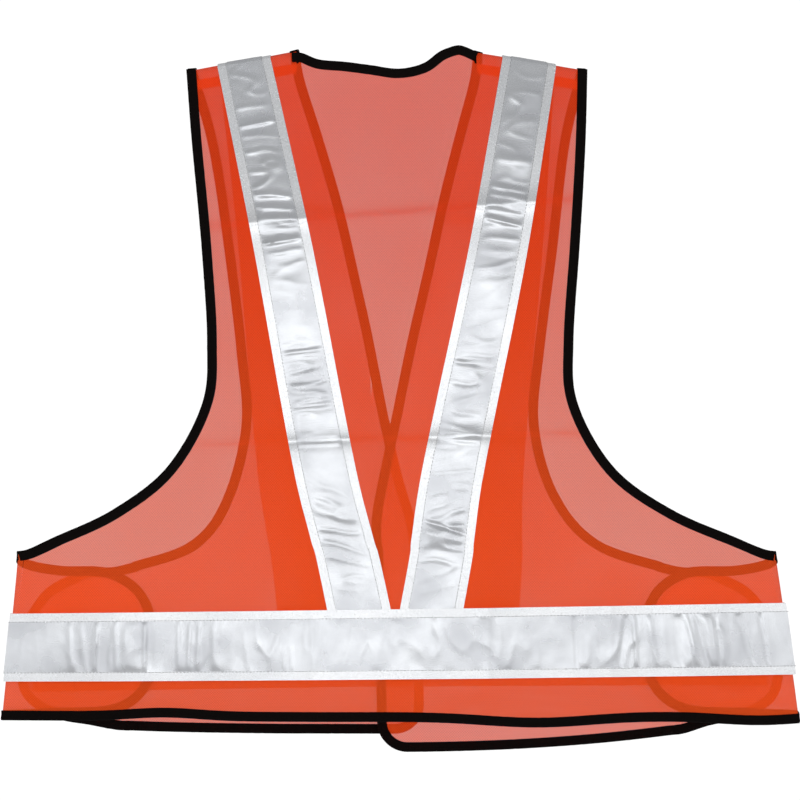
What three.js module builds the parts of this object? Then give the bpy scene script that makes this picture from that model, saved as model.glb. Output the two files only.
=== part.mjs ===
// High visibility vest: see-through orange cloth, black bound edges and silver tape on white backing.
// Millimetres, +Z up. The wearer's left is -X and the back of the vest faces -Y.
// The origin is on the shoulder fold, midway between the two shoulders.
import * as THREE from "three";

// ---- Driving dimensions ------------------------------------------------------------------------
const SHOULDER_IN = 80; // the neck end of each shoulder, from the middle
const SHOULDER_OUT = 172; // the arm end of each shoulder
const SHOULDER_FALL = 16; // the arm end sits this much lower than the neck end
const NECK_DIP = 14; // depth of the back neck
const SIDE_TOP = [325, -433]; // where the back armhole reaches the side fold
const SIDE_BOTTOM = [342, -575]; // where the side fold meets the back hem
const GIRTH_HALF = 345; // half the vest's width, where the cloth turns to the front
const FRONT_HEM = { left: -590, right: -605 }; // the fronts hang a little lower than the back
const FRONT_HEM_ROUND = { left: 0.5, right: 0.95 }; // below 1, the hem drops quickly from the side
const FRONT_HEM_SIDE = -579; // height of the front hem beside the side fold
const FRONT_HEM_REACH = 300; // from the middle to where the front hem is level
const BACK_DEPTH = 26; // how far the back curves out behind the side folds
const FRONT_DEPTH = 38; // how far the front curves out before them
const FULL_DEPTH_BELOW = 220; // the curve is full this far below the shoulder fold
const LEAN = 0.0215; // the hem hangs a little to the wearer's right of the shoulders

const CLOTH = 1.0; // thickness of the cloth, as a solid
const BINDING_WIDTH = 8.5;
const BINDING_THICK = 2.4;
const FILM_INSET = 8; // white border left beside the silver film
const TAPE_THICK = 0.7;
const FILM_THICK = 0.5;
const PATCH_THICK = 1.0; // hook or loop fabric
const GAP = 0.45; // clear space between pieces that touch
const FOLD_GAP = 1.6; // half the space between the two layers at a fold
const WING_BELOW_FRONT = 4.6; // the wing lies this far inside the front panel
const SIDE_STEP = 4.5; // the front stands this far off the side fold, to clear the wing
const LAP_STEP = 5.5; // the left front stands this far outside the right front

const WAIST_TAPE = 60; // width of the waist tape
const WAIST_Z = -509; // middle of the back waist tape
const FRONT_WAIST_Z = -519;
const WAIST_RISE = 0.0115; // the waist tape climbs a little to the wearer's right
const LAP_HALF = 20.5; // half the width of the front lap
const CORNER_RADIUS = 26; // rounded lower corner of each front
const TAB_FOLD_X = 240; // the side tabs fold on this line
const FLAP_FOLD = [[7.5, -312], [26, -586]]; // the front flap folds on this line
const LEFT = -1;
const RIGHT = 1;

// ---- Materials ---------------------------------------------------------------------------------
const finish = (color, roughness, metalness = 0) => () =>
  new THREE.MeshStandardMaterial({ color, roughness, metalness });
const orangeCloth = finish(0xe4582f, 0.85);
const blackBinding = finish(0x14100f, 0.8);
const whiteTape = finish(0xf2f3f2, 0.7);
const silverFilm = finish(0xd4d6d8, 0.3, 0.4);
const hookAndLoop = finish(0x1c1a1a, 0.95);

// ---- The hanging shape -------------------------------------------------------------------------
const shoulderHeight = (x) => {
  const past = Math.min(Math.max(Math.abs(x) - SHOULDER_IN, 0), SHOULDER_OUT - SHOULDER_IN);
  return (-SHOULDER_FALL * past) / (SHOULDER_OUT - SHOULDER_IN);
};
const swell = (x, z) => {
  const below = THREE.MathUtils.clamp((shoulderHeight(x) - z) / FULL_DEPTH_BELOW, 0, 1);
  return Math.sin((Math.PI / 2) * below);
};
const girthCurve = (x) => 1 - (x / GIRTH_HALF) ** 2;

// Each layer gives the cloth's middle plane at (x, z), and the way its outer face looks along Y.
const backLayer = {
  out: -1,
  y: (x, z) => -FOLD_GAP - BACK_DEPTH * swell(x, z) * girthCurve(x),
};
const frontLayer = {
  out: 1,
  y: (x, z) => FOLD_GAP + swell(x, z) * (SIDE_STEP + FRONT_DEPTH * girthCurve(x)),
};
const wingLayer = { out: 1, y: (x, z) => frontLayer.y(x, z) - WING_BELOW_FRONT };
const LAP_STEP_FROM = -110; // the left front starts to stand off the right front here
const lapStep = (x) => LAP_STEP * THREE.MathUtils.smoothstep(x, LAP_STEP_FROM, -LAP_HALF);
const leftFrontLayer = { out: 1, y: (x, z) => frontLayer.y(x, z) + lapStep(x) };
const hang = (x, y, z) => [x - LEAN * z, y, z];

// ---- Making a slab from a patch of cloth -------------------------------------------------------
const group = new THREE.Group();

// A closed slab on a layer. place(u, v) gives [x, z]; the slab fills from inner to outer, outwards.
function slab(name, material, layer, place, [across, down], [inner, outer]) {
  const positions = [];
  for (const height of [inner, outer]) {
    for (let j = 0; j <= down; j++) {
      for (let i = 0; i <= across; i++) {
        const [x, z] = place(i / across, j / down);
        positions.push(...hang(x, layer.y(x, z) + layer.out * height, z));
      }
    }
  }
  const row = across + 1;
  const face = row * (down + 1);
  const triangles = [];
  const quad = (a, b, c, d) => triangles.push(a, b, c, a, c, d);
  for (let j = 0; j < down; j++) {
    for (let i = 0; i < across; i++) {
      const a = j * row + i;
      quad(a, a + 1, a + 1 + row, a + row);
      quad(face + a, face + a + row, face + a + 1 + row, face + a + 1);
    }
  }
  const rim = [];
  for (let i = 0; i < across; i++) rim.push(i);
  for (let j = 0; j < down; j++) rim.push(j * row + across);
  for (let i = across; i > 0; i--) rim.push(down * row + i);
  for (let j = down; j > 0; j--) rim.push(j * row);
  rim.forEach((a, k) => {
    const b = rim[(k + 1) % rim.length];
    quad(a, a + face, b + face, b);
  });
  if (signedVolume(positions, triangles) < 0) triangles.reverse();
  const geometry = new THREE.BufferGeometry();
  geometry.setAttribute("position", new THREE.Float32BufferAttribute(positions, 3));
  geometry.setIndex(triangles);
  geometry.computeVertexNormals();
  const mesh = new THREE.Mesh(geometry, material());
  mesh.name = name;
  group.add(mesh);
}

function signedVolume(positions, triangles) {
  const corner = (k) => new THREE.Vector3().fromArray(positions, 3 * triangles[k]);
  let six = 0;
  for (let k = 0; k < triangles.length; k += 3) six += corner(k).dot(corner(k + 1).cross(corner(k + 2)));
  return six;
}

// ---- Outlines, drawn for the wearer's right (+X) and mirrored for the left ---------------------
const spline = (points) => new THREE.SplineCurve(points.map(([x, z]) => new THREE.Vector2(x, z)));
const spaced = (points, steps) => spline(points).getSpacedPoints(steps).map((p) => [p.x, p.y]);
const mix = (a, b, t) => [a[0] + (b[0] - a[0]) * t, a[1] + (b[1] - a[1]) * t];
const mirrored = (side, place) => (u, v) => {
  const [x, z] = place(u, v);
  return [side * x, z];
};

const SHOULDER_CORNER = [SHOULDER_OUT, -16.5];
const BACK_ARMHOLE = [
  SHOULDER_CORNER, [169, -80], [162, -170], [157, -250],
  [161, -303], [192, -358], [240, -394], SIDE_TOP,
];
const FRONT_ARMHOLE = [
  SHOULDER_CORNER, [156, -80], [144, -171], [133, -261],
  [129, -322], [146, -381], [179, -420], [238, -441],
];
const TAB_ROUND_END = [
  [238, -441], [272, -446], [305, -464], [325, -495],
  [331, -525], [325, -556], [300, -574],
];
const WING_EDGE = [
  [322, -440], [290, -444], [247, -447], [219, -470],
  [212, -512], [221, -550], [248, -571], [341, -574],
];
const NECK_EDGE = [
  [79, -1], [71, -25], [57, -73], [41.5, -130],
  [28, -190], [15.5, -245], [2, -312],
];
const LAP_EDGE = [[2, -312], [-9.5, -364], [-19, -405], [-LAP_HALF, -440]];

// How many steps each outline is drawn in.
const ARMHOLE_STEPS = 18;
const BACK_NECK_STEPS = 20;
const NECK_STEPS = 16;
const LAP_STEPS = 6;
const FLAP_STEPS = 8;
const HEM_STEPS = { back: 24, front: 12 };
const SLANTED_TAPE_STEPS = 24;
const WING_ROWS = 15; // rows of cloth between the round end and the side fold
const TAB_ROWS = 14;
const CORNER_STEPS = 6;

// Moves each point of an outline sideways, to the outline's left as it is walked.
function moved(points, distance) {
  return points.map((p, k) => {
    const a = points[Math.max(k - 1, 0)];
    const b = points[Math.min(k + 1, points.length - 1)];
    const length = Math.hypot(b[0] - a[0], b[1] - a[1]);
    return [p[0] - (distance * (b[1] - a[1])) / length, p[1] + (distance * (b[0] - a[0])) / length];
  });
}

// The lower edge of a front: level beside the side fold and lowest near the middle.
const frontHem = (side) => (x) => {
  const word = side === LEFT ? "left" : "right";
  const towardsMiddle = Math.max(0, 1 - (x / FRONT_HEM_REACH) ** 2);
  return FRONT_HEM_SIDE + (FRONT_HEM[word] - FRONT_HEM_SIDE) * towardsMiddle ** FRONT_HEM_ROUND[word];
};
const roundedCorner = (side) => {
  const bottom = frontHem(side)(0);
  return Array.from({ length: CORNER_STEPS + 1 }, (_, k) => {
    const angle = (Math.PI / 2) * (k / CORNER_STEPS);
    return [
      -LAP_HALF + CORNER_RADIUS * (1 - Math.cos(angle)),
      bottom + CORNER_RADIUS * (1 - Math.sin(angle)),
    ];
  });
};

const BINDING_FACES = [-BINDING_THICK / 2, BINDING_THICK / 2];
const CLOTH_FACES = [-CLOTH / 2, CLOTH / 2];

// A binding: a strip beside an outline that is already in steps, BINDING_WIDTH wide.
function binding(name, layer, side, edge, keepWithin = (p) => p) {
  const inside = moved(edge, BINDING_WIDTH).map(keepWithin);
  const steps = edge.length - 1;
  const place = (u, v) => mix(edge[Math.round(v * steps)], inside[Math.round(v * steps)], u);
  slab(name, blackBinding, layer, mirrored(side, place), [1, steps], BINDING_FACES);
}

// A panel between two outlines matched row by row. lift(x, v) shapes its first and last rows.
function panel(name, layer, side, inner, outer, across, lift = () => 0) {
  const steps = outer.length - 1;
  const place = (u, v) => {
    const [x, z] = mix(inner[Math.round(v * steps)], outer[Math.round(v * steps)], u);
    return [x, z + lift(x, v)];
  };
  slab(name, orangeCloth, layer, mirrored(side, place), [across, steps], CLOTH_FACES);
}

// The x of an outline at height z, by straight steps between its points.
function acrossAt(points, z) {
  const found = points.findIndex((p) => p[1] <= z);
  const k = Math.max(1, found === -1 ? points.length - 1 : found);
  const [a, b] = [points[k - 1], points[k]];
  return a[0] + ((b[0] - a[0]) * (z - a[1])) / (b[1] - a[1]);
}

// White tape with the silver film on it. edges(v) gives the tape's two edges, [[x, z], [x, z]].
function tape(suffix, layer, side, edges, steps, across = 1) {
  const layers = [
    [`tape_${suffix}`, whiteTape, 0, CLOTH / 2 + GAP, TAPE_THICK],
    [`silver_${suffix}`, silverFilm, FILM_INSET, CLOTH / 2 + GAP + TAPE_THICK + GAP, FILM_THICK],
  ];
  for (const [name, material, inset, base, thick] of layers) {
    const place = (u, v) => {
      const [a, b] = edges(v);
      const border = inset / Math.hypot(b[0] - a[0], b[1] - a[1]);
      return mix(a, b, border + (1 - 2 * border) * u);
    };
    slab(name, material, layer, mirrored(side, place), [across, steps], [base, base + thick]);
  }
}

// A level tape from x = from to x = to on one side of the vest, where to may cross the middle.
function waistTape(suffix, layer, side, [from, to], height, steps) {
  const half = WAIST_TAPE / 2;
  const edges = (v) => {
    const x = from + (to - from) * v;
    const middle = height + WAIST_RISE * side * x;
    return [[x, middle + half], [x, middle - half]];
  };
  tape(suffix, layer, side, edges, steps);
}

// ---- Back --------------------------------------------------------------------------------------
const CLOTH_INSET = BINDING_WIDTH + 2 * GAP;
const FOLD_INSET = 1.2; // the cloth solids stop this far from a fold line
const FOLD_TOP_GAP = 0.6; // and this far below the shoulder fold
const NECK_END_CLEAR = 4; // the cloth keeps this far from the ends of the neck binding
const NECK_SLACK = 1; // the cloth stops this much short of the neck binding
const BACK_TOP_SHARE = 1 / 5; // the share of the back's rows that take up the shape of its top
const NECK_ROUND = 0.7; // below 1, the neck is flat in the middle and steep at its ends

const backArmholeEdge = spaced(BACK_ARMHOLE, ARMHOLE_STEPS);
const backNeck = (x) => -NECK_DIP * Math.max(0, 1 - (x / SHOULDER_IN) ** 2) ** NECK_ROUND;

function back() {
  const armhole = moved(backArmholeEdge, -CLOTH_INSET);
  const clothSideTop = SIDE_TOP[1] - CLOTH_INSET;
  const clothBottom = SIDE_BOTTOM[1] + CLOTH_INSET;
  const sideRows = [0.25, 0.5, 0.75, 1].map((t) => clothSideTop + (clothBottom - clothSideTop) * t);
  const sideX = (z) => acrossAt([SIDE_TOP, SIDE_BOTTOM], z) - FOLD_INSET;
  const outer = [...armhole, ...sideRows.map((z) => [sideX(z), z])];
  const inner = outer.map(([x, z]) => [-x, z]);
  const top = outer[0][1];
  const topEdge = (x) => {
    const away = Math.abs(x);
    if (away >= SHOULDER_IN + NECK_END_CLEAR) return shoulderHeight(x) - FOLD_TOP_GAP;
    return backNeck(Math.min(away, SHOULDER_IN)) - CLOTH_INSET - NECK_SLACK;
  };
  const lift = (x, v) => (topEdge(x) - top) * Math.max(0, 1 - v / BACK_TOP_SHARE);
  panel("back_panel", backLayer, RIGHT, inner, outer, 20, lift);
}

function backBindings() {
  const neckHalf = SHOULDER_IN - NECK_SLACK;
  const neckStrip = (u, v) => {
    const x = neckHalf * (2 * v - 1);
    return [x, backNeck(x) - FOLD_TOP_GAP - BINDING_WIDTH * u];
  };
  slab("binding_back_neck", blackBinding, backLayer, neckStrip, [1, BACK_NECK_STEPS], BINDING_FACES);

  for (const [side, word] of [[LEFT, "left"], [RIGHT, "right"]]) {
    const edge = [...backArmholeEdge];
    edge[0] = [edge[0][0], edge[0][1] - FOLD_TOP_GAP];
    binding(`binding_back_armhole_${word}`, backLayer, side, [...edge].reverse());
  }

  const hemHalf = SIDE_BOTTOM[0] - FOLD_INSET;
  const hemStrip = (u, v) => [hemHalf * (2 * v - 1), SIDE_BOTTOM[1] + BINDING_WIDTH * u];
  slab("binding_back_hem", blackBinding, backLayer, hemStrip, [1, HEM_STEPS.back], BINDING_FACES);
}

const V_OUTER = [[145.6, -12.5], [106, -232], [57, -478]];
const V_INNER = [[99.8, -4.5], [53, -238], [2.5, -478]];
const FRONT_TAPE_OUTER = [[145.6, -12.5], [104, -487.5]];
const FRONT_TAPE_INNER = [[99.8, -4.5], [54, -487.5]];

// A tape between two outlines, ending on the waist tape's upper edge.
function slantedTape(suffix, layer, side, inner, outer, waistZ) {
  const steps = SLANTED_TAPE_STEPS;
  const a = spaced(inner, steps);
  const b = spaced(outer, steps);
  const end = (p) => [p[0], waistZ + WAIST_TAPE / 2 + GAP + WAIST_RISE * side * p[0]];
  a[steps] = end(a[steps]);
  b[steps] = end(b[steps]);
  tape(suffix, layer, side, (v) => [a[Math.round(v * steps)], b[Math.round(v * steps)]], steps, 2);
}

function backTapes() {
  slantedTape("back_v_left", backLayer, LEFT, V_INNER, V_OUTER, WAIST_Z);
  slantedTape("back_v_right", backLayer, RIGHT, V_INNER, V_OUTER, WAIST_Z);
  const reach = acrossAt([SIDE_TOP, SIDE_BOTTOM], WAIST_Z + WAIST_TAPE / 2) - FOLD_INSET;
  waistTape("back_waist", backLayer, RIGHT, [-reach, reach], WAIST_Z, 24);
}

// ---- Wings: the back cloth turned round the side folds -----------------------------------------
const WING_TAPE = [334, 303]; // the wing's waist tape runs from the side fold to here
const LOOP_SIDE = { x: [233, 298], height: 44 };
const HOOK_SIDE = { x: [246, 296], height: 40 };

// Rows from a round end to its fold, each spanning the cloth between the outline's two halves.
const acrossRows = (outline, rows) => (u, v) => {
  const row = Math.round(v * (rows - 1)) + 1;
  const end = (outline.length - 1) / 2;
  return mix(outline[end - row], outline[end + row], u);
};

function patch(name, layer, side, { x, height }, middle, base) {
  const place = (u, v) => {
    const across = x[0] + (x[1] - x[0]) * u;
    return [across, middle + WAIST_RISE * side * across + height * (0.5 - v)];
  };
  slab(name, hookAndLoop, layer, mirrored(side, place), [3, 1], [base, base + PATCH_THICK]);
}

function wing(side, word) {
  const edge = spaced(WING_EDGE, 2 * WING_ROWS);
  const inside = moved(edge, CLOTH_INSET);
  const cloth = acrossRows(inside, WING_ROWS);
  slab(`wing_${word}`, orangeCloth, wingLayer, mirrored(side, cloth), [2, WING_ROWS - 1], CLOTH_FACES);
  binding(`binding_wing_${word}`, wingLayer, side, edge);
  waistTape(`wing_${word}`, wingLayer, side, WING_TAPE, FRONT_WAIST_Z, 2);
  patch(`loop_side_${word}`, wingLayer, side, LOOP_SIDE, FRONT_WAIST_Z, CLOTH / 2 + GAP);
}

// ---- Front panels ------------------------------------------------------------------------------
const HALF_FOLD_GAP = 0.4; // half the gap on a tab's or the flap's fold line
const FRONT_TOP_SHARE = 1 / 6; // the share of a front's rows that take up the shape of its top
const FRONT_HEM_SHARE = 1 / 5; // and of its hem
const UNDERARM_SLACK = 1; // the cloth's corner under the arm lies this much lower than its armhole
const FLAP_NECK_SLACK = 2; // the left front's cloth stops this much short of its neck binding
const FLAP_CLOTH_DROP = 25; // and reaches the flap's fold this far below its top
const FLAP_TAPE_CLEAR = 4; // the waist tapes stop this far from the flap's fold
const RIGHT_TAPE_FROM = 20; // where the right front's waist tape starts, beside its loop patch

function front(side, word, layer) {
  const armhole = spaced(FRONT_ARMHOLE, ARMHOLE_STEPS);
  const armholeInside = moved(armhole, -CLOTH_INSET);
  const tabLine = TAB_FOLD_X - HALF_FOLD_GAP;
  const hem = frontHem(side);
  const clothHem = (x) => hem(x) + CLOTH_INSET;
  const lowRows = [0.2, 0.4, 0.6, 0.8, 1];
  const start = armholeInside[armholeInside.length - 1][1] - UNDERARM_SLACK;
  const outer = [
    ...armholeInside.slice(0, -1),
    ...lowRows.map((t) => [tabLine, start + (clothHem(tabLine) - start) * t]),
  ];
  const insideLine = side === LEFT ? leftInnerLine() : moved(rightFreeEdge(), CLOTH_INSET);
  const top = outer[0][1];
  const lift = (x, v) => {
    const rise = shoulderHeight(x) - FOLD_TOP_GAP - top;
    const fall = clothHem(x) - clothHem(tabLine);
    return rise * Math.max(0, 1 - v / FRONT_TOP_SHARE) + fall * Math.max(0, 1 - (1 - v) / FRONT_HEM_SHARE);
  };
  const rows = outer.length - 1;
  const inner = outer.map(([, z], k) => {
    const rough = acrossAt(insideLine, z);
    return [acrossAt(insideLine, z + lift(rough, k / rows)) + GAP, z];
  });
  panel(`front_panel_${word}`, layer, side, inner, outer, 8, lift);

  armhole[0] = [armhole[0][0], armhole[0][1] - FOLD_TOP_GAP];
  armhole[armhole.length - 1] = [TAB_FOLD_X - HALF_FOLD_GAP, armhole[armhole.length - 1][1]];
  binding(`binding_front_armhole_${word}`, layer, side, [...armhole].reverse());
  slantedTape(`front_${word}`, layer, side, FRONT_TAPE_INNER, FRONT_TAPE_OUTER, FRONT_WAIST_Z);
}

// Where the cloth ends towards the middle: inside the neck binding, then along the flap's fold.
function leftInnerLine() {
  const [foldTop, foldBottom] = FLAP_FOLD;
  const neck = moved(spaced(NECK_EDGE, NECK_STEPS), CLOTH_INSET + FLAP_NECK_SLACK);
  const onFold = (z) => [acrossAt(FLAP_FOLD, z) + HALF_FOLD_GAP, z];
  return [...neck, onFold(foldTop[1] - FLAP_CLOTH_DROP), onFold(foldBottom[1])];
}

// The right front's free edge: down the neck, down the lap and round the corner.
function rightFreeEdge() {
  const lap = spaced(LAP_EDGE, LAP_STEPS).slice(1);
  return [...spaced(NECK_EDGE, NECK_STEPS), ...lap, ...roundedCorner(RIGHT)];
}

function frontLeft() {
  front(LEFT, "left", leftFrontLayer);
  const neck = spaced(NECK_EDGE, NECK_STEPS);
  neck[neck.length - 1] = [neck[neck.length - 1][0], neck[neck.length - 1][1] + HALF_FOLD_GAP];
  binding("binding_front_neck_left", leftFrontLayer, LEFT, neck);
  hemBinding("binding_front_hem_left", leftFrontLayer, LEFT, FLAP_FOLD[1][0] + HALF_FOLD_GAP);
  const start = acrossAt(FLAP_FOLD, FRONT_WAIST_Z) + FLAP_TAPE_CLEAR;
  const reach = [start, TAB_FOLD_X - HALF_FOLD_GAP];
  waistTape("front_waist_left", leftFrontLayer, LEFT, reach, FRONT_WAIST_Z, HEM_STEPS.front);
}

function hemBinding(name, layer, side, from) {
  const hem = frontHem(side);
  const to = TAB_FOLD_X - HALF_FOLD_GAP;
  const place = (u, v) => {
    const x = from + (to - from) * v;
    return [x, hem(x) + BINDING_WIDTH * u];
  };
  slab(name, blackBinding, layer, mirrored(side, place), [1, HEM_STEPS.front], BINDING_FACES);
}

const LOOP_FRONT = { x: [-8, 16], height: 50 };
const HOOK_FRONT = { x: [-8, 12], height: 45 };

function frontRight() {
  front(RIGHT, "right", frontLayer);
  binding("binding_front_edge_right", frontLayer, RIGHT, rightFreeEdge());
  const cornerEnd = CORNER_RADIUS - LAP_HALF;
  hemBinding("binding_front_hem_right", frontLayer, RIGHT, cornerEnd + 3 * GAP);
  const reach = [RIGHT_TAPE_FROM, TAB_FOLD_X - HALF_FOLD_GAP];
  waistTape("front_waist_right", frontLayer, RIGHT, reach, FRONT_WAIST_Z, HEM_STEPS.front);
  patch("loop_front", frontLayer, RIGHT, LOOP_FRONT, FRONT_WAIST_Z, CLOTH / 2 + GAP);
}

// ---- Side tabs of the fronts -------------------------------------------------------------------
function tab(side, word, layer) {
  const foldX = TAB_FOLD_X + HALF_FOLD_GAP;
  const pastFold = ([x, z]) => [Math.max(x, foldX), z];
  const hemEnd = [foldX, frontHem(side)(foldX)];
  const edge = spaced([...TAB_ROUND_END, hemEnd], 2 * TAB_ROWS).map(pastFold);
  edge[0] = [foldX, edge[0][1]];
  const inside = moved(edge, -CLOTH_INSET).map(pastFold);
  const cloth = acrossRows(inside, TAB_ROWS);
  slab(`front_tab_${word}`, orangeCloth, layer, mirrored(side, cloth), [2, TAB_ROWS - 1], CLOTH_FACES);
  binding(`binding_tab_${word}`, layer, side, [...edge].reverse(), pastFold);
  const upperHalf = inside.slice(0, TAB_ROWS + 1);
  const reach = acrossAt(upperHalf, FRONT_WAIST_Z + WAIST_TAPE / 2) - 4 * GAP;
  waistTape(`tab_${word}`, layer, side, [foldX, reach], FRONT_WAIST_Z, 4);
  patch(`hook_side_${word}`, layer, side, HOOK_SIDE, FRONT_WAIST_Z, -CLOTH / 2 - GAP - PATCH_THICK);
}

// ---- Front flap: the left front's edge, which laps over the right front ------------------------
const FLAP_CLOTH_TOP = -333; // below the point where its binding and its fold meet
const FLAP_CORNER_FROM = 0.9; // the cloth's lowest tenth follows the rounded corner
const FLAP_CORNER_PULL = 14; // and ends this much narrower

function flap() {
  const bottom = frontHem(LEFT)(0);
  const corner = roundedCorner(LEFT);
  const foldBottom = FLAP_FOLD[1];
  const hemEnd = [foldBottom[0] - HALF_FOLD_GAP, bottom];
  const lap = spaced(LAP_EDGE, FLAP_STEPS);
  lap[0] = [lap[0][0], lap[0][1] - HALF_FOLD_GAP];
  const edge = [...lap, ...corner, hemEnd];
  const foldX = (z) => acrossAt(FLAP_FOLD, z) - HALF_FOLD_GAP;
  const beforeFold = ([x, z]) => [Math.min(x, foldX(z)), z];
  binding("binding_flap", leftFrontLayer, LEFT, edge, beforeFold);

  const insideLine = moved([...lap, [-LAP_HALF, bottom]], CLOTH_INSET);
  const clothHeight = FLAP_CLOTH_TOP - bottom - CLOTH_INSET;
  const place = (u, v) => {
    const z = FLAP_CLOTH_TOP - clothHeight * v;
    const pastCorner = Math.max(0, v - FLAP_CORNER_FROM) / (1 - FLAP_CORNER_FROM);
    const freeX = acrossAt(insideLine, z) + FLAP_CORNER_PULL * pastCorner;
    return [foldX(z) + (freeX - foldX(z)) * u, z];
  };
  slab("front_flap", orangeCloth, leftFrontLayer, mirrored(LEFT, place), [2, 10], CLOTH_FACES);
  const tapeFrom = -LAP_HALF + CLOTH_INSET + GAP;
  const tapeTo = acrossAt(FLAP_FOLD, FRONT_WAIST_Z) - FLAP_TAPE_CLEAR;
  waistTape("flap", leftFrontLayer, LEFT, [tapeFrom, tapeTo], FRONT_WAIST_Z, 2);
  patch("hook_front", leftFrontLayer, LEFT, HOOK_FRONT, FRONT_WAIST_Z, -CLOTH / 2 - GAP - PATCH_THICK);
}

back();
backBindings();
backTapes();
wing(LEFT, "left");
wing(RIGHT, "right");
frontLeft();
frontRight();
tab(LEFT, "left", leftFrontLayer);
tab(RIGHT, "right", frontLayer);
flap();

export default group;
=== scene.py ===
# %% [markdown]
# # A high visibility vest
# The vest is see-through orange mesh with black bound edges, and silver film stitched on white tape.
# It hangs from its shoulders with its back towards the camera. The imported model gives every layer's place,
# and this script makes the cloth, the tapes and the stitches that lie on those layers.

# %% Load the imported model
import math
from collections import namedtuple
import bmesh
import bpy
import numpy as np
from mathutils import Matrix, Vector, noise


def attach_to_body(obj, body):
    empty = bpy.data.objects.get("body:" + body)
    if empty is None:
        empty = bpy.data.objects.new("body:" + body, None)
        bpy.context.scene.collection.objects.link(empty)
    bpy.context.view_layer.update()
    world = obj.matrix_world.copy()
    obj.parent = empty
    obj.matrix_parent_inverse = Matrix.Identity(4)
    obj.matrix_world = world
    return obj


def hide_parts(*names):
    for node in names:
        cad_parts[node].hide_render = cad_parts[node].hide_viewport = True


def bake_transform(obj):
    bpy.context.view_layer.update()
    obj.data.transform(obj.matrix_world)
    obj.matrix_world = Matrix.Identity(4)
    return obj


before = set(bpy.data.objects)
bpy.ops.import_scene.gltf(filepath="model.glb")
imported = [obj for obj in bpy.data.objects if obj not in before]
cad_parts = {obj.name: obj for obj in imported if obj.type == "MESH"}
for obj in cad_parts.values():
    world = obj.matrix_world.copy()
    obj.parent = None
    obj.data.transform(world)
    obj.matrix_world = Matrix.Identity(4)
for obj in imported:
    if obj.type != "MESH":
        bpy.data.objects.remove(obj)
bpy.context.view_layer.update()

MM = 0.001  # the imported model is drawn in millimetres, and Blender works in metres

def in_scene(name, data):
    """A new object that shows this data."""
    obj = bpy.data.objects.new(name, data)
    bpy.context.scene.collection.objects.link(obj)
    return obj

# %% [markdown]
# ## The camera
# A flat view needs a long lens: from five metres away the near and far layers are almost the same size, so
# the fronts line up behind the back as they would on a table. The lens length is worked out from the width
# that the view has to hold, which is a little more than the hem.

# %% Camera
VIEW_WIDTH = 0.6856  # metres across the frame, at the back of the vest
VIEW_DISTANCE = 5.0
VIEW_CENTRE = Vector((0.0123, -0.02, -0.300))
SENSOR = 36.0

camera_data = bpy.data.cameras.new("camera")
camera_data.sensor_width = SENSOR
camera_data.lens = SENSOR * VIEW_DISTANCE / VIEW_WIDTH
camera = in_scene("camera", camera_data)
camera.location = VIEW_CENTRE - Vector((0, VIEW_DISTANCE, 0))
camera.rotation_euler = (math.radians(90), 0, 0)
bpy.context.scene.camera = camera
print("lens", round(camera_data.lens, 1), "mm")

# %% [markdown]
# ## Node helpers
# The world, the materials and the Geometry Nodes trees are all built with the same few helpers. Whatever goes
# into a socket is either a plain value or the output of another node.

# %% Node helpers
def link_or_set(links, socket, value):
    if isinstance(value, bpy.types.NodeSocket):
        links.new(value, socket)
    else:
        socket.default_value = value

def add(tree, kind, settings=(), **inputs):
    """Adds a node, sets its options, and links or sets its inputs by name. Returns its outputs."""
    node = tree.nodes.new(kind)
    for name, value in settings:
        setattr(node, name, value)
    for name, value in inputs.items():
        link_or_set(tree.links, node.inputs[name.replace("_", " ")], value)
    return node.outputs

def maths(tree, operation, a, b=None):
    node = tree.nodes.new("ShaderNodeMath")
    node.operation = operation
    link_or_set(tree.links, node.inputs[0], a)
    if b is not None:
        link_or_set(tree.links, node.inputs[1], b)
    return node.outputs[0]

def spread(tree, value, low, high, at_low, at_high):
    """A smooth step from at_low to at_high as value goes from low to high."""
    return add(tree, "ShaderNodeMapRange", [("interpolation_type", "SMOOTHSTEP")], Value=value,
               From_Min=low, From_Max=high, To_Min=at_low, To_Max=at_high)["Result"]

# %% [markdown]
# ## A room for the film
# Silver film is close to a mirror, so it shows the room more than the lamps. The room that lights the vest
# has a pale band at eye level, a darker ceiling and darker corners. A flat piece of film shows the pale
# band, a piece that tips up at the shoulder shows the ceiling, and a wrinkle shows a little of each.
# The camera itself sees plain white, and sees soft grey where it looks through the mesh. Cloth in front of
# pure white would look washed out.

# %% The world
ROOM_TINT = (0.97, 0.985, 1.0, 1)
ROOM_STRENGTH = 1.62
SEEN_WHITE = 1.05
SEEN_THROUGH_MESH = 0.60

world = bpy.data.worlds.new("studio")
bpy.context.scene.world = world
world.use_nodes = True
sky = world.node_tree
sky.nodes.clear()

def either(choice, no, yes):
    node = sky.nodes.new("ShaderNodeMixShader")
    for socket, value in zip(node.inputs, (choice, no, yes)):
        sky.links.new(value, socket)
    return node.outputs[0]

def plain(colour, strength):
    return add(sky, "ShaderNodeBackground", Color=colour, Strength=strength)[0]

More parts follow.
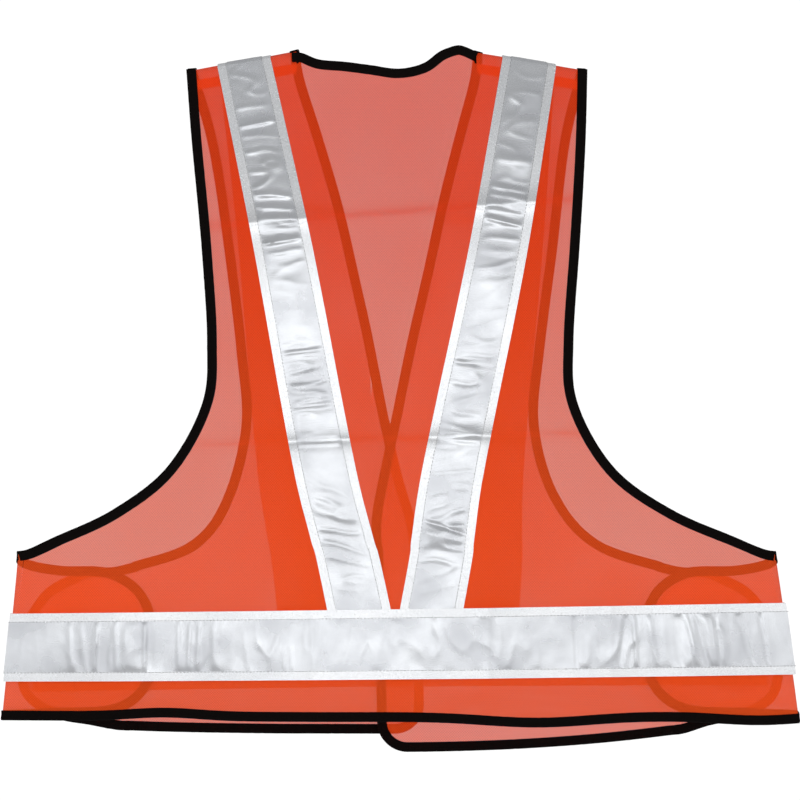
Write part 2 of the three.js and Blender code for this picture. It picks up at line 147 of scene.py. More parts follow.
direction = add(sky, "ShaderNodeTexCoord")["Generated"]
ahead = add(sky, "ShaderNodeSeparateXYZ", Vector=direction)
ceiling = spread(sky, ahead["Z"], 0.03, 0.26, 1.0, 0.26)
corners = spread(sky, maths(sky, "ABSOLUTE", ahead["X"]), 0.02, 0.58, 1.0, 0.64)
ground = spread(sky, ahead["Z"], -0.75, -0.30, 0.70, 1.0)
room_level = maths(sky, "MULTIPLY", maths(sky, "MULTIPLY", ceiling, corners), ground)
room = plain(ROOM_TINT, maths(sky, "MULTIPLY", room_level, ROOM_STRENGTH))
ray = add(sky, "ShaderNodeLightPath")
through_mesh = maths(sky, "GREATER_THAN", ray["Transparent Depth"], 0.5)
seen = either(through_mesh, plain((1, 1, 1, 1), SEEN_WHITE), plain((1, 1, 1, 1), SEEN_THROUGH_MESH))
shown = either(ray["Is Camera Ray"], room, seen)
add(sky, "ShaderNodeOutputWorld", Surface=shown)
bpy.context.scene.view_settings.view_transform = "Standard"
print("room", ROOM_STRENGTH, "behind the mesh", SEEN_THROUGH_MESH)

# %% [markdown]
# ## Lamps and floor
# One big soft lamp shines on the back from the upper left, a weaker one from the lower right, and one on the
# fronts, so both sides of the vest are lit when it is turned. The floor is well below the hem, because the
# vest hangs from its shoulders.

# %% Lamps and floor
def add_lamp(name, place, aim, size, power):
    data = bpy.data.lights.new(name, "AREA")
    data.shape = "RECTANGLE"
    data.size, data.size_y = size
    data.energy = power
    lamp = in_scene(name, data)
    lamp.location = place
    lamp.rotation_euler = (Vector(aim) - Vector(place)).to_track_quat("-Z", "Y").to_euler()
    lamp.visible_glossy = False  # the film mirrors the room, not the lamps

VEST_MIDDLE = (0, 0, -0.3)
# Place and size in metres, and power in watts.
add_lamp("key_lamp", (-1.7, -2.2, 0.9), VEST_MIDDLE, (1.2, 1.2), 20)
add_lamp("fill_lamp", (1.7, -2.0, -1.0), VEST_MIDDLE, (1.2, 1.4), 10)
add_lamp("far_lamp", (1.2, 2.6, 0.8), VEST_MIDDLE, (1.6, 1.6), 30)

FLOOR_BELOW = 1.30  # metres from the shoulders down to the floor
FLOOR_REACH = 7.0
bpy.ops.mesh.primitive_circle_add(
    vertices=96, radius=FLOOR_REACH, fill_type="NGON", location=(0, 0, -FLOOR_BELOW))
floor = bpy.context.object
floor.name = "floor"

def new_finish(name, **constants):
    """A material with constant values on its shader. Returns it, its tree and its shader's sockets."""
    material = bpy.data.materials.new(name)
    material.use_nodes = True
    shader = material.node_tree.nodes["Principled BSDF"]
    for socket, value in constants.items():
        shader.inputs[socket.replace("_", " ")].default_value = value
    return material, material.node_tree, shader.inputs

def dress(tree, shader, **outputs):
    """Links outputs to a shader's sockets by name."""
    for socket, output in outputs.items():
        tree.links.new(output, shader[socket.replace("_", " ")])

floor.data.materials.append(new_finish("floor_paint", Base_Color=(0.85, 0.85, 0.85, 1), Roughness=0.9)[0])

# %% [markdown]
# ## The hanging shape
# A vest is two layers that meet at the shoulder folds and the side folds and stand apart between them. One
# formula gives the depth of the back at any height and width, and another the depth of the front. Every
# piece sewn on a layer asks the same formula for its place, so cloth, tape and binding stay together
# without any fitting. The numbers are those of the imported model.

# %% Driving dimensions
SHOULDER_IN, SHOULDER_OUT, SHOULDER_FALL = 75 * MM, 172 * MM, 16 * MM
GIRTH_HALF = 345 * MM
BACK_DEPTH, FRONT_DEPTH, FULL_DEPTH_BELOW = 26 * MM, 38 * MM, 220 * MM
FOLD_GAP = 1.6 * MM
SIDE_STEP, LAP_STEP, WING_BELOW_FRONT = 4.5 * MM, 5.5 * MM, 4.6 * MM
LAP_HALF = 20.5 * MM
LAP_RISE_FROM = 110 * MM  # the left front starts to rise over the right one this far from the middle
LEAN = 0.0215  # metres to the right for each metre down
LEFT, RIGHT = -1, 1
SIDE_WORDS = {LEFT: "left", RIGHT: "right"}

def shoulder_height(x):
    past = np.clip(np.abs(x) - SHOULDER_IN, 0, SHOULDER_OUT - SHOULDER_IN)
    return -SHOULDER_FALL * past / (SHOULDER_OUT - SHOULDER_IN)

def swell(x, z):
    return np.sin(math.pi / 2 * np.clip((shoulder_height(x) - z) / FULL_DEPTH_BELOW, 0, 1))

def girth_curve(x):
    return 1 - (x / GIRTH_HALF) ** 2

def smoothstep(t):
    t = np.clip(t, 0, 1)
    return t * t * (3 - 2 * t)

# %% [markdown]
# A vest that was folded in a packet keeps its creases: two across it and three down it. Each crease is a
# small tent in the cloth, sharp at its line and flat again 20 mm away. A slow ripple lies over the whole
# layer. Both fade out towards the folds, where the two layers have to meet.

# %% Creases and ripples
# Each crease: its height (or distance from the middle), its slope, and how far it stands, in metres.
ACROSS_CREASES = [(-0.139, 0.075, 1.7 * MM), (-0.333, 0.030, 1.5 * MM)]
DOWN_CREASES = [(-0.084, -0.02, 0.7 * MM), (0.086, 0.02, 0.8 * MM), (0.186, 0.01, 0.7 * MM)]
CREASE_REACH = 7 * MM
DOWN_CREASES_FROM, DOWN_CREASES_GROW = -0.22, 0.12  # they start below this height, and grow over this length
# Each wave: radians a metre across and down.
WAVES = [(38, 7), (-21, 16), (63, -9), (12, 31)]
BACK_RIPPLE, FRONT_RIPPLE = 0.8 * MM, 0.9 * MM
BACK_PHASE, FRONT_PHASE = 2.3, 9.2
FRONT_CREASING = 0.7  # a front's creases are this much of the back's
SOON_LOOSE = 1.6  # the larger, the nearer the folds the cloth is already loose

def creases(x, z):
    total = 0
    for height, slope, stand in ACROSS_CREASES:
        total = total + stand * np.exp(-np.abs(z - height - slope * x) / CREASE_REACH)
    low = smoothstep((DOWN_CREASES_FROM - z) / DOWN_CREASES_GROW)
    for across, slope, stand in DOWN_CREASES:
        total = total + stand * low * np.exp(-np.abs(x - across - slope * z) / CREASE_REACH)
    return total

def ripple(x, z, phase):
    total = 0
    for k, (across, down) in enumerate(WAVES):
        total = total + np.sin(across * x + down * z + 1.7 * k + phase) / (1 + 0.6 * k)
    return total

def looseness(x, z):
    """1 where the cloth is free to move, 0 at the folds."""
    return np.clip(SOON_LOOSE * swell(x, z) * girth_curve(x), 0, 1)

def back_depth(x, z):
    own = creases(x, z) + BACK_RIPPLE * ripple(x, z, BACK_PHASE)
    return -(FOLD_GAP + BACK_DEPTH * swell(x, z) * girth_curve(x) + looseness(x, z) * own)

def front_depth(x, z):
    own = FRONT_CREASING * creases(-x, z) + FRONT_RIPPLE * ripple(x, z, FRONT_PHASE)
    return FOLD_GAP + swell(x, z) * (SIDE_STEP + FRONT_DEPTH * girth_curve(x)) + looseness(x, z) * own

def wing_depth(x, z):
    return front_depth(x, z) - WING_BELOW_FRONT

def left_front_depth(x, z):
    return front_depth(x, z) + LAP_STEP * smoothstep((x + LAP_RISE_FROM) / (LAP_RISE_FROM - LAP_HALF))

# %% [markdown]
# ## Cloth that turns round a fold
# The fronts are one cloth with a strip that comes over the shoulder, and the wings are the back cloth
# turned round the side. So the fronts' and the wings' patterns are drawn flat, past the fold, and `place`
# rolls what is past the fold round a small half circle. A binding or a tape drawn on the same pattern rolls
# with it.

# %% Place a flat pattern on its layer
Layer = namedtuple("Layer", "depth out fold")
BACK = Layer(back_depth, -1, None)
FRONT = Layer(front_depth, 1, "shoulder")
LEFT_FRONT = Layer(left_front_depth, 1, "shoulder")
WING = Layer(wing_depth, 1, "side")
FRONTS = {LEFT: LEFT_FRONT, RIGHT: FRONT}

SIDE_TOP, SIDE_BOTTOM = (325.6 * MM, -431.5 * MM), (343.2 * MM, -575.5 * MM)
TURN_BELOW = 2 * MM  # the shoulder fold starts to turn this far below its top

def side_x(z):
    return SIDE_TOP[0] + (SIDE_BOTTOM[0] - SIDE_TOP[0]) * (SIDE_TOP[1] - z) / (SIDE_TOP[1] - SIDE_BOTTOM[1])

def side_turn(x_sign, z):
    """Where the side fold starts to turn, its radius, and its middle depth."""
    radius = 4 * MM  # a first guess, which three rounds make exact enough
    for _ in range(3):
        start = side_x(z) - radius
        front, back = wing_depth(x_sign * start, z), back_depth(x_sign * start, z)
        radius = (front - back) / 2
    return start, radius, (front + back) / 2

def shoulder_turn(layer, x):
    start = shoulder_height(x) - TURN_BELOW
    front, back = layer.depth(x, start), back_depth(x, start)
    return start, (front - back) / 2, (front + back) / 2

def on_layer(layer, x, z):
    """Points of a layer, and the cloth's outward normals there."""
    step = 0.2 * MM  # the slope is measured over twice this
    slope_x = (layer.depth(x + step, z) - layer.depth(x - step, z)) / (2 * step)
    slope_z = (layer.depth(x, z + step) - layer.depth(x, z - step)) / (2 * step)
    normals = np.stack([-slope_x, np.ones_like(x), -slope_z], -1) * layer.out
    normals /= np.linalg.norm(normals, axis=-1, keepdims=True)
    return np.stack([x, layer.depth(x, z), z], -1), normals

def place(layer, x, z, lift=0.0):
    """Where flat cloth hangs, raised by lift along its outward normal. Returns points and normals."""
    x, z = (a.astype(float) for a in np.broadcast_arrays(x, z))
    if layer.fold is None:
        points, normals = on_layer(layer, x, z)
        return points + normals * np.broadcast_to(lift, x.shape)[..., None], normals
    at_shoulder, sign = layer.fold == "shoulder", np.sign(x)
    start, radius, middle = shoulder_turn(layer, x) if at_shoulder else side_turn(sign, z)
    run = z if at_shoulder else np.abs(x)
    past = np.maximum(run - start, 0)
    angle = np.minimum(past / radius, math.pi)
    before, beyond = np.minimum(run, start), start - np.maximum(past - math.pi * radius, 0)
    sine, cosine = np.sin(angle), np.cos(angle)
    out, depth = start + radius * sine, middle + radius * cosine
    if at_shoulder:
        first, last = on_layer(layer, x, before), on_layer(BACK, x, beyond)
        turned = np.stack([x, depth, out], -1), np.stack([0 * x, cosine, sine], -1)
    else:
        first, last = on_layer(layer, sign * before, z), on_layer(BACK, sign * beyond, z)
        turned = np.stack([sign * out, depth, z], -1), np.stack([sign * sine, cosine, 0 * x], -1)
    on_fold, is_beyond = (past > 0)[..., None], (past > math.pi * radius)[..., None]
    points, normals = (
        np.where(is_beyond, c, np.where(on_fold, b, a)) for a, b, c in zip(first, turned, last))
    return points + normals * np.broadcast_to(lift, x.shape)[..., None], normals

# %% [markdown]
# ## Outlines
# Each outline is a smooth curve through the few points that shape it, walked at an even step. Outlines are
# drawn once, on the side where x is positive, and mirrored for the other side.

# %% Outlines
def in_metres(*pairs):
    return np.array(pairs, float) * MM

def pairs(x, z):
    """Flat points from their x and their z."""
    return np.stack(np.broadcast_arrays(x, z), -1)

def smooth_path(points, step, between=24):
    """A Catmull-Rom curve through the points, at an even step."""
    p = np.array(points, float)
    p = np.vstack([2 * p[0] - p[1], p, 2 * p[-1] - p[-2]])
    t = np.linspace(0, 1, between, endpoint=False)[:, None]
    dense = []
    for a, b, c, d in zip(p[:-3], p[1:-2], p[2:-1], p[3:]):
        leave, arrive = (c - a) / 2, (d - b) / 2
        cubic, square = 2 * b - 2 * c + leave + arrive, 3 * c - 3 * b - 2 * leave - arrive
        dense.append(cubic * t**3 + square * t**2 + leave * t + b)
    return even_steps(np.vstack([*dense, p[-2]]), step=step)

def run_along(points):
    """How far each point lies along a line."""
    return np.concatenate([[0], np.cumsum(np.linalg.norm(np.diff(points, axis=0), axis=1))])

def even_steps(points, step=None, count=None):
    """Walks a line at an even step, or with an even count of points."""
    points = np.asarray(points, float)
    run = run_along(points)
    count = count or max(2, int(round(run[-1] / step)) + 1)
    at = np.linspace(0, run[-1], count)
    return np.stack([np.interp(at, run, points[:, k]) for k in range(points.shape[1])], -1)

def to_the_left(points):
    """The flat direction to the left of an outline, as it is walked."""
    ahead = np.gradient(points, axis=0)
    ahead /= np.linalg.norm(ahead, axis=1, keepdims=True)
    return np.stack([-ahead[:, 1], ahead[:, 0]], -1)

def inset(points, distance):
    return points + distance * to_the_left(points)

def x_at(points, z):
    """The x of a downward outline at height z."""
    return np.interp(-np.asarray(z, float), -points[:, 1], points[:, 0])

# Points in mm from the middle of the shoulders: to the right, and up.
BACK_ARMHOLE = in_metres(
    (172.6, -15.6), (169, -80), (162, -170), (157, -250), (161, -303), (192, -358), (240, -394),
    (292, -417.5), (316, -428), (327, -430))
FRONT_ARMHOLE = in_metres(
    (172, -18), (156, -80), (144, -171), (133, -261), (129, -322), (145, -382), (177, -422), (238, -443))
TAB_EDGE = in_metres(
    (238, -443), (272, -446), (305, -464), (325, -495), (331, -525), (325, -556), (300, -574), (268, -581))
WING_EDGE = in_metres(
    (316, -438), (290, -443), (247, -446), (217, -469), (208, -512), (217, -550), (246, -571), (300, -574))
BACK_NECK = in_metres(
    (-81.5, -1), (-72, -1.5), (-58, -7), (-36, -9), (-13, -12), (10, -15), (31, -10.5), (46, 0), (60, 5),
    (68, 4), (79, -1))
NECK_EDGE = in_metres((74.5, -1), (71, -25), (57, -73), (41.5, -130), (28, -190), (15.5, -245), (2, -312))
LAP_EDGE = in_metres((2, -312), (-9.5, -364), (-19, -405), (-20.5, -440))
FLAP_FOLD = in_metres((7.5, -312), (26, -586))
TAB_FOLD = 240 * MM
FINE_STEP = 1.5 * MM  # along outlines that bend tightly
HEM_LOW = {LEFT: -590 * MM, RIGHT: -605.5 * MM}
HEM_ROUND = {LEFT: 0.5, RIGHT: 0.95}  # how sharply each front's hem drops from the side
HEM_SIDE, HEM_REACH = -579 * MM, 300 * MM
CORNER_RADIUS = 26 * MM
BACK_HEM = -575.5 * MM

def front_hem(side, x):
    share = np.maximum(0, 1 - (x / HEM_REACH) ** 2) ** HEM_ROUND[side]
    return HEM_SIDE + (HEM_LOW[side] - HEM_SIDE) * share

def back_neck(x):
    """The height of the back neckline, which is lowest right of the middle and stands up at its right end."""
    line = smooth_path(BACK_NECK, 2 * MM)
    return np.interp(x, line[:, 0], line[:, 1])

def over_shoulder(layer, x, turn):
    """The flat height at which a front has turned this far (radians) round the shoulder fold, at x."""
    start, radius, _ = shoulder_turn(layer, np.asarray(x, float))
    return float(start + turn * radius)

def round_side(z, turn):
    """The flat x at which a wing has turned this far (radians) round the side fold, at z."""
    start, radius, _ = side_turn(1, np.asarray(z, float))
    return float(start + turn * radius)

def side_edge(z):
    """The x at which the side fold reaches furthest out."""
    start, radius, _ = side_turn(1, np.asarray(z, float))
    return float(start + radius)

# %% [markdown]
# ## How it hangs
# The vest hangs a little to one side, bows to the left at the waist of the armholes, and its back hem
# waves. These small shifts are added last, to everything alike, so all the layers keep together.

# %% Lean, bow and wave
# Where the back hem rides up or sags: place across, height, half width.
HEM_WAVES = [(-203 * MM, 3.2 * MM, 42 * MM), (118 * MM, -5 * MM, 62 * MM), (310 * MM, -4 * MM, 50 * MM)]
HEM_WAVE_FROM, HEM_WAVE_FULL = -0.545, -0.568
BACK_ONLY, BACK_FADE = 3 * MM, 5 * MM  # the waves fade from the back's layer towards the fronts

# How far the vest bows to the right at each height.
BOW_HEIGHTS = (-0.62, -0.45, -0.42, -0.37, -0.30, -0.22, -0.15, -0.05, 0.03)
BOW_SHIFTS = (0.4, 0.4, -1.2, -3.6, -2.8, -0.6, 0.8, 0.8, 0.3)  # in mm
BOW_LINE = smooth_path(np.stack([BOW_SHIFTS, BOW_HEIGHTS], -1) * (MM, 1), 4 * MM)

def bow(z):
    """How far to the right the cloth lies at each height, joined up smoothly."""
    return np.interp(z, BOW_LINE[:, 1], BOW_LINE[:, 0])

def hang(points):
    """The hem waves a little, and the vest hangs a little to one side and bows."""
    moved = np.array(points, float)
    x, y, z = moved[..., 0], moved[..., 1], moved[..., 2]
    on_back = smoothstep((BACK_ONLY - y) / BACK_FADE)
    on_back = on_back * smoothstep((HEM_WAVE_FROM - z) / (HEM_WAVE_FROM - HEM_WAVE_FULL))
    for across, height, wide in HEM_WAVES:
        moved[..., 2] = moved[..., 2] + on_back * height * np.exp(-((x - across) / wide) ** 2)
    moved[..., 0] = x - LEAN * z + bow(z)
    return moved

# %% [markdown]
# ## Three builders
# A cloth is a grid of points made into quads, one layer thick like the real mesh. A tape is a closed slab
# between two grids. A binding is a rounded section swept along a path. Each gets a UV map with its flat
# size in metres, so a weave keeps its scale wherever the cloth goes.

# %% Builders
def make_object(name, vertices, faces, uvs, material):
    mesh = bpy.data.meshes.new(name)
    mesh.from_pydata(vertices.tolist(), [], faces)
    layer = mesh.uv_layers.new(name="cloth")
    corner = np.empty(len(mesh.loops), int)
    mesh.loops.foreach_get("vertex_index", corner)
    layer.data.foreach_set("uv", uvs[corner].astype(np.float32).ravel())
    mesh.polygons.foreach_set("use_smooth", [True] * len(mesh.polygons))
    mesh.materials.append(material)
    return in_scene(name, mesh)

def face_outwards(obj):
    work = bmesh.new()
    work.from_mesh(obj.data)
    bmesh.ops.recalc_face_normals(work, faces=work.faces)
    work.to_mesh(obj.data)
    work.free()

def grid_faces(rows, columns, first=0, flip=False):
    j, i = np.meshgrid(np.arange(rows - 1), np.arange(columns - 1), indexing="ij")
    a = (first + j * columns + i).ravel()
    quads = np.stack([a, a + 1, a + 1 + columns, a + columns], -1)
    return (quads[:, ::-1] if flip else quads).tolist()

FULLY_PRESSED_AND_SHADED = 1.5 * MM  # a crease that stands this far is pressed, and painted in shade, all the way

def cloth_mesh(name, layer, flat, material, lift=0.0):
    """One layer of cloth from a flat grid (rows, columns, 2)."""
    points, normals = place(layer, flat[..., 0], flat[..., 1], lift)
    points = hang(points)
    rows, columns = flat.shape[:2]
    j, i = rows // 2, columns // 2
    across, down = points[j, i + 1] - points[j, i], points[j + 1, i] - points[j, i]
    flip = np.dot(np.cross(across, down), normals[j, i]) < 0
    faces = grid_faces(rows, columns, flip=flip)
    obj = make_object(name, points.reshape(-1, 3), faces, flat.reshape(-1, 2), material)
    x, z = flat[..., 0], flat[..., 1]
    # where the creases press the mesh: it is denser there, and its colour gets painted shade
    pressed_and_crease_shade = np.clip(creases(layer.out * -x, z) / FULLY_PRESSED_AND_SHADED, 0, 1) ** 3 * looseness(x, z)
    attribute = obj.data.attributes.new("pressed_and_crease_shade", "FLOAT", "POINT")
    attribute.data.foreach_set("value", pressed_and_crease_shade.astype(np.float32).ravel())
    obj.visible_shadow = False  # real mesh scatters light on to the layer behind it
    return obj

def slab_mesh(name, layer, flat, bottom, top, material):
    """A closed slab on a layer, from one lift to another."""
    rows, columns = flat.shape[:2]
    count = rows * columns
    under, _ = place(layer, flat[..., 0], flat[..., 1], bottom)
    over, _ = place(layer, flat[..., 0], flat[..., 1], top)
    faces = grid_faces(rows, columns) + grid_faces(rows, columns, count, flip=True)
    ring = list(range(columns)) + [j * columns + columns - 1 for j in range(1, rows)]
    ring += [(rows - 1) * columns + i for i in range(columns - 2, -1, -1)]
    ring += [j * columns for j in range(rows - 2, 0, -1)]
    faces += [[a, a + count, b + count, b] for a, b in zip(ring, ring[1:] + ring[:1])]
    vertices = np.concatenate([hang(over).reshape(-1, 3), hang(under).reshape(-1, 3)])
    uvs = np.concatenate([flat.reshape(-1, 2)] * 2)
    obj = make_object(name, vertices, faces, uvs, material)
    face_outwards(obj)
    obj.data.set_sharp_from_angle(angle=math.radians(50))
    return obj

BINDING_WIDTH = 8.5 * MM
PLUMP_SCALE, PLUMP_WIDER, PLUMP_THICKER, PLUMP_FADE = 230, 0.035, 0.16, 12 * MM  # how uneven a binding is
# The section of a folded binding: how far inward from its middle line, and how far outward from the cloth.
BINDING_SECTION = in_metres(
    (-4.25, 0), (-4.0, 0.72), (-3.1, 1.12), (-1.0, 1.08), (1.6, 1.02), (3.7, 0.92), (4.2, 0.5), (4.25, 0),
    (4.2, -0.5), (3.7, -0.92), (1.6, -1.02), (-1.0, -1.08), (-3.1, -1.12), (-4.0, -0.72))

def binding_frames(layer, outline, side, offset):
    """Points beside an outline, with the directions inward and outward there."""
    left = to_the_left(outline)
    flat = outline + offset * left
    mirror = np.array([side, 1])
    centre, normal = place(layer, *(flat * mirror).T)
    nearer, _ = place(layer, *((flat + 0.5 * MM * left) * mirror).T)
    further, _ = place(layer, *((flat - 0.5 * MM * left) * mirror).T)
    inward = nearer - further
    inward /= np.linalg.norm(inward, axis=1, keepdims=True)
    return centre, inward, normal

def binding_mesh(name, layer, outline, side, material):
    centre, inward, normal = binding_frames(layer, outline, side, BINDING_WIDTH / 2)
    rows, size = len(centre), len(BINDING_SECTION)
    run = run_along(centre)
    plump = np.array([noise.noise(Vector((PLUMP_SCALE * s, side, layer.out))) for s in run])
    plump *= np.clip(np.minimum(run, run[-1] - run) / PLUMP_FADE, 0, 1)
    wide = (1 + PLUMP_WIDER * plump)[:, None, None] * BINDING_SECTION[None, :, :1]
    thick = (1 + PLUMP_THICKER * plump)[:, None, None] * BINDING_SECTION[None, :, 1:]
    points = centre[:, None] + wide * inward[:, None] + thick * normal[:, None]
    uvs = np.stack(np.broadcast_arrays(run[:, None], run_along(BINDING_SECTION)[None, :]), -1)
    ring = [(k, (k + 1) % size) for k in range(size)]
    starts = range(0, (rows - 1) * size, size)
    faces = [[j + a, j + b, j + b + size, j + a + size] for j in starts for a, b in ring]
    faces += [list(range(size))[::-1], [(rows - 1) * size + k for k in range(size)]]
    obj = make_object(name, hang(points).reshape(-1, 3), faces, uvs.reshape(-1, 2), material)
    face_outwards(obj)
    return obj

def patch_between(top, bottom, left, right):
    """A flat grid that fills four edges. top and bottom run across, left and right run down."""
    u = np.linspace(0, 1, len(top))[None, :, None]
    v = np.linspace(0, 1, len(left))[:, None, None]
    across = (1 - v) * top[None] + v * bottom[None]
    down = (1 - u) * left[:, None] + u * right[:, None]
    corners = (1 - u) * (1 - v) * top[0] + u * (1 - v) * top[-1]
    corners = corners + (1 - u) * v * bottom[0] + u * v * bottom[-1]
    return across + down - corners

# %% [markdown]
# ## Which body a piece follows
# The fronts turn about the shoulder folds, the wings about the side folds, and the tabs and the flap about
# lines on the fronts. A piece that reaches into one of these folds has to bend there, but it is not blended
# between the two bodies: it is left with its place baked in and follows no body. A piece that lies wholly
# past the fold simply rides on its body.

# %% Bodies and folds
TAB_BEND, FLAP_BEND, WING_BEND = 12 * MM, 10 * MM, 1.9 * MM  # half the width over which each of them bends
TAB_LINE, TAB_MIDDLE = TAB_FOLD - TAB_BEND, -510 * MM  # where a tab's pieces take over, and its height
FOLDS = {}  # body: the body it hangs from, and where its bend starts and ends

def bend_about(parent, middle, half):
    return parent, tuple(Vector(middle) - half), tuple(Vector(middle) + half)

for side, word in SIDE_WORDS.items():
    FOLDS[f"front_{word}"] = ("back", (0, -FOLD_GAP, 0), (0, FOLD_GAP, 0))
    FOLDS[f"wing_{word}"] = ("back", (0, -WING_BEND, 0), (0, WING_BEND, 0))
    fold = hang([side * TAB_FOLD, 0, TAB_MIDDLE])
    across = Vector((side, 0, side * LEAN)).normalized() * TAB_BEND
    FOLDS[f"tab_{word}"] = bend_about(f"front_{word}", fold, across)
flap_top, flap_bottom = hang([[-x, 0, z] for x, z in FLAP_FOLD])
along_flap = Vector(flap_bottom - flap_top).normalized()
across_flap = along_flap.cross(Vector((0, 1, 0))).normalized() * FLAP_BEND
FOLDS["front_flap"] = bend_about("front_left", flap_top, across_flap)
print("the flap bends along", [round(v, 3) for v in across_flap])

def attach(obj, body, nodes=()):
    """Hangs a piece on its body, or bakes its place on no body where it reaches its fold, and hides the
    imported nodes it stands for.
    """
    parent, start, end = FOLDS.get(body, (None, (0, 0, 0), (0, 0, 1)))
    ahead = np.subtract(end, start)
    points = np.empty(3 * len(obj.data.vertices))
    obj.data.vertices.foreach_get("co", points)
    share = (points.reshape(-1, 3) - np.array(start)) @ ahead / (ahead @ ahead)
    if parent and share.min() < 1:
        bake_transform(obj)
    else:
        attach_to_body(obj, body)
    if nodes:
        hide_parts(*nodes)
    return obj

# %% [markdown]
# ## Finishes
# All the woven finishes share one group: two sets of threads that cross, worked out from the flat pattern.
# It gives a height, 1 on a thread and 0 in the middle of a hole. Each finish uses that height in its own
# way: the mesh makes holes of it, the tapes and bindings only a fine bump.

# %% Weave group
def flat_pattern(tree):
    return add(tree, "ShaderNodeUVMap", [("uv_map", "cloth")])[0]

def across_and_down(tree):
    """The flat pattern's two directions, X and Y, in metres."""
    return add(tree, "ShaderNodeSeparateXYZ", Vector=flat_pattern(tree))

def new_group(name, inputs, outputs):
    group = bpy.data.node_groups.new(name, "ShaderNodeTree")
    for socket in inputs:
        group.interface.new_socket(socket, in_out="INPUT", socket_type="NodeSocketFloat")
    for socket in outputs:
        group.interface.new_socket(socket, in_out="OUTPUT", socket_type="NodeSocketFloat")
    return group, group.nodes.new("NodeGroupInput"), group.nodes.new("NodeGroupOutput")

def weave_group():
    group, given, gives = new_group("weave", ["Threads a metre", "Slant"], ["Height"])
    flat = across_and_down(group)
    turns = maths(group, "MULTIPLY", given.outputs["Threads a metre"], math.pi)
    up = maths(group, "MULTIPLY", flat["Y"], given.outputs["Slant"])
    gaps = []
    for way in ("ADD", "SUBTRACT"):
        across = maths(group, way, flat["X"], up)
        gaps.append(maths(group, "ABSOLUTE", maths(group, "SINE", maths(group, "MULTIPLY", across, turns))))
    group.links.new(maths(group, "SUBTRACT", 1.0, maths(group, "MINIMUM", *gaps)), gives.inputs["Height"])
    return group

WEAVE = weave_group()

# %% [markdown]
# Cloth is never one even colour. A second group gives a slow cloudiness, for handling marks and uneven
# dye, and a fine speckle, for fluff and dust. The mesh, binding, tape and film finishes use it.

# %% Wear group
NOISE_LOW, NOISE_HIGH = 0.3, 0.7  # the noise hardly ever leaves this range, which is spread to 0 and 1

def wear_group():
    group, given, gives = new_group("wear", ["Cloud scale", "Speckle scale"], ["Cloud", "Speckle"])
    for scale, output, detail in (("Cloud scale", "Cloud", 3), ("Speckle scale", "Speckle", 5)):
        value = add(group, "ShaderNodeTexNoise", Detail=detail, Scale=given.outputs[scale],
                    Vector=flat_pattern(group))[0]
        full = add(group, "ShaderNodeMapRange", Value=value, From_Min=NOISE_LOW, From_Max=NOISE_HIGH)
        group.links.new(full["Result"], gives.inputs[output])
    return group

WEAR = wear_group()

def woven(tree, threads, slant):
    """The height of a weave with so many threads a metre."""
    return add(tree, "ShaderNodeGroup", [("node_tree", WEAVE)], Threads_a_metre=threads, Slant=slant)[0]

def wear_of(tree, cloud_scale, speckle_scale):
    return add(tree, "ShaderNodeGroup", [("node_tree", WEAR)], Cloud_scale=cloud_scale,
               Speckle_scale=speckle_scale)

def two_tone(tree, value, dark, light):
    """A colour between two."""
    return add(tree, "ShaderNodeMix", [("data_type", "RGBA")], A=(*dark, 1), B=(*light, 1),
               Factor=value)["Result"]

def bump(tree, height, strength, distance):
    return add(tree, "ShaderNodeBump", Strength=strength, Distance=distance, Height=height)[0]

def carried(tree, name):
    """A value that the mesh carries as an attribute."""
    return add(tree, "ShaderNodeAttribute", [("attribute_name", name)])["Fac"]

# %% [markdown]
# ## Orange mesh
# Each layer of the real mesh hides about three quarters of what is behind it, which is why one layer looks
# pale and two look deep orange. The Alpha follows the weave: threads nearly solid, holes about a third
# clear, because fine threads cross them. Where the packing creases pressed the threads together the mesh is
# a little denser, and its colour is darker there: painted shade along the creases. An attribute on each
# cloth says where. Towards the hem the mesh is a little thinner, and its colour is a little brighter: painted
# light, which leaves the upper part in painted shade. The dye is fluorescent, so it gives back a little more
# light than falls on it, and a weak glow of its own colour stands in for that.

# %% Orange mesh finish
# the ends of the mesh's colour; painted shade along the creases and painted light towards the hem also move
# it between them
MESH_DARK, MESH_LIGHT = (0.70, 0.030, 0.001), (0.90, 0.095, 0.010)
MESH_GLOW = (1.0, 0.085, 0.012, 1)
HOLE_HEIGHT, THREAD_HEIGHT = 0.30, 0.85  # the weave's heights where a hole and a thread are complete
HOLE_ALPHA, THREAD_ALPHA = 0.65, 0.95
FADE_LOW, FADE_HIGH = -0.50, -0.05  # the heights on the vest between which the mesh changes
THINNER_LOW = -0.055  # what the Alpha changes by towards the hem
WEAVE_TONE, LOW_PAINTED_LIGHT = 0.3, 0.7  # how much of the tone comes from the weave, and from painted light that brightens the mesh towards the hem
# how much denser the mesh is along a crease, and how much painted shade darkens its colour there
DENSER_PRESSED, CREASE_PAINTED_SHADE = 0.10, 0.35

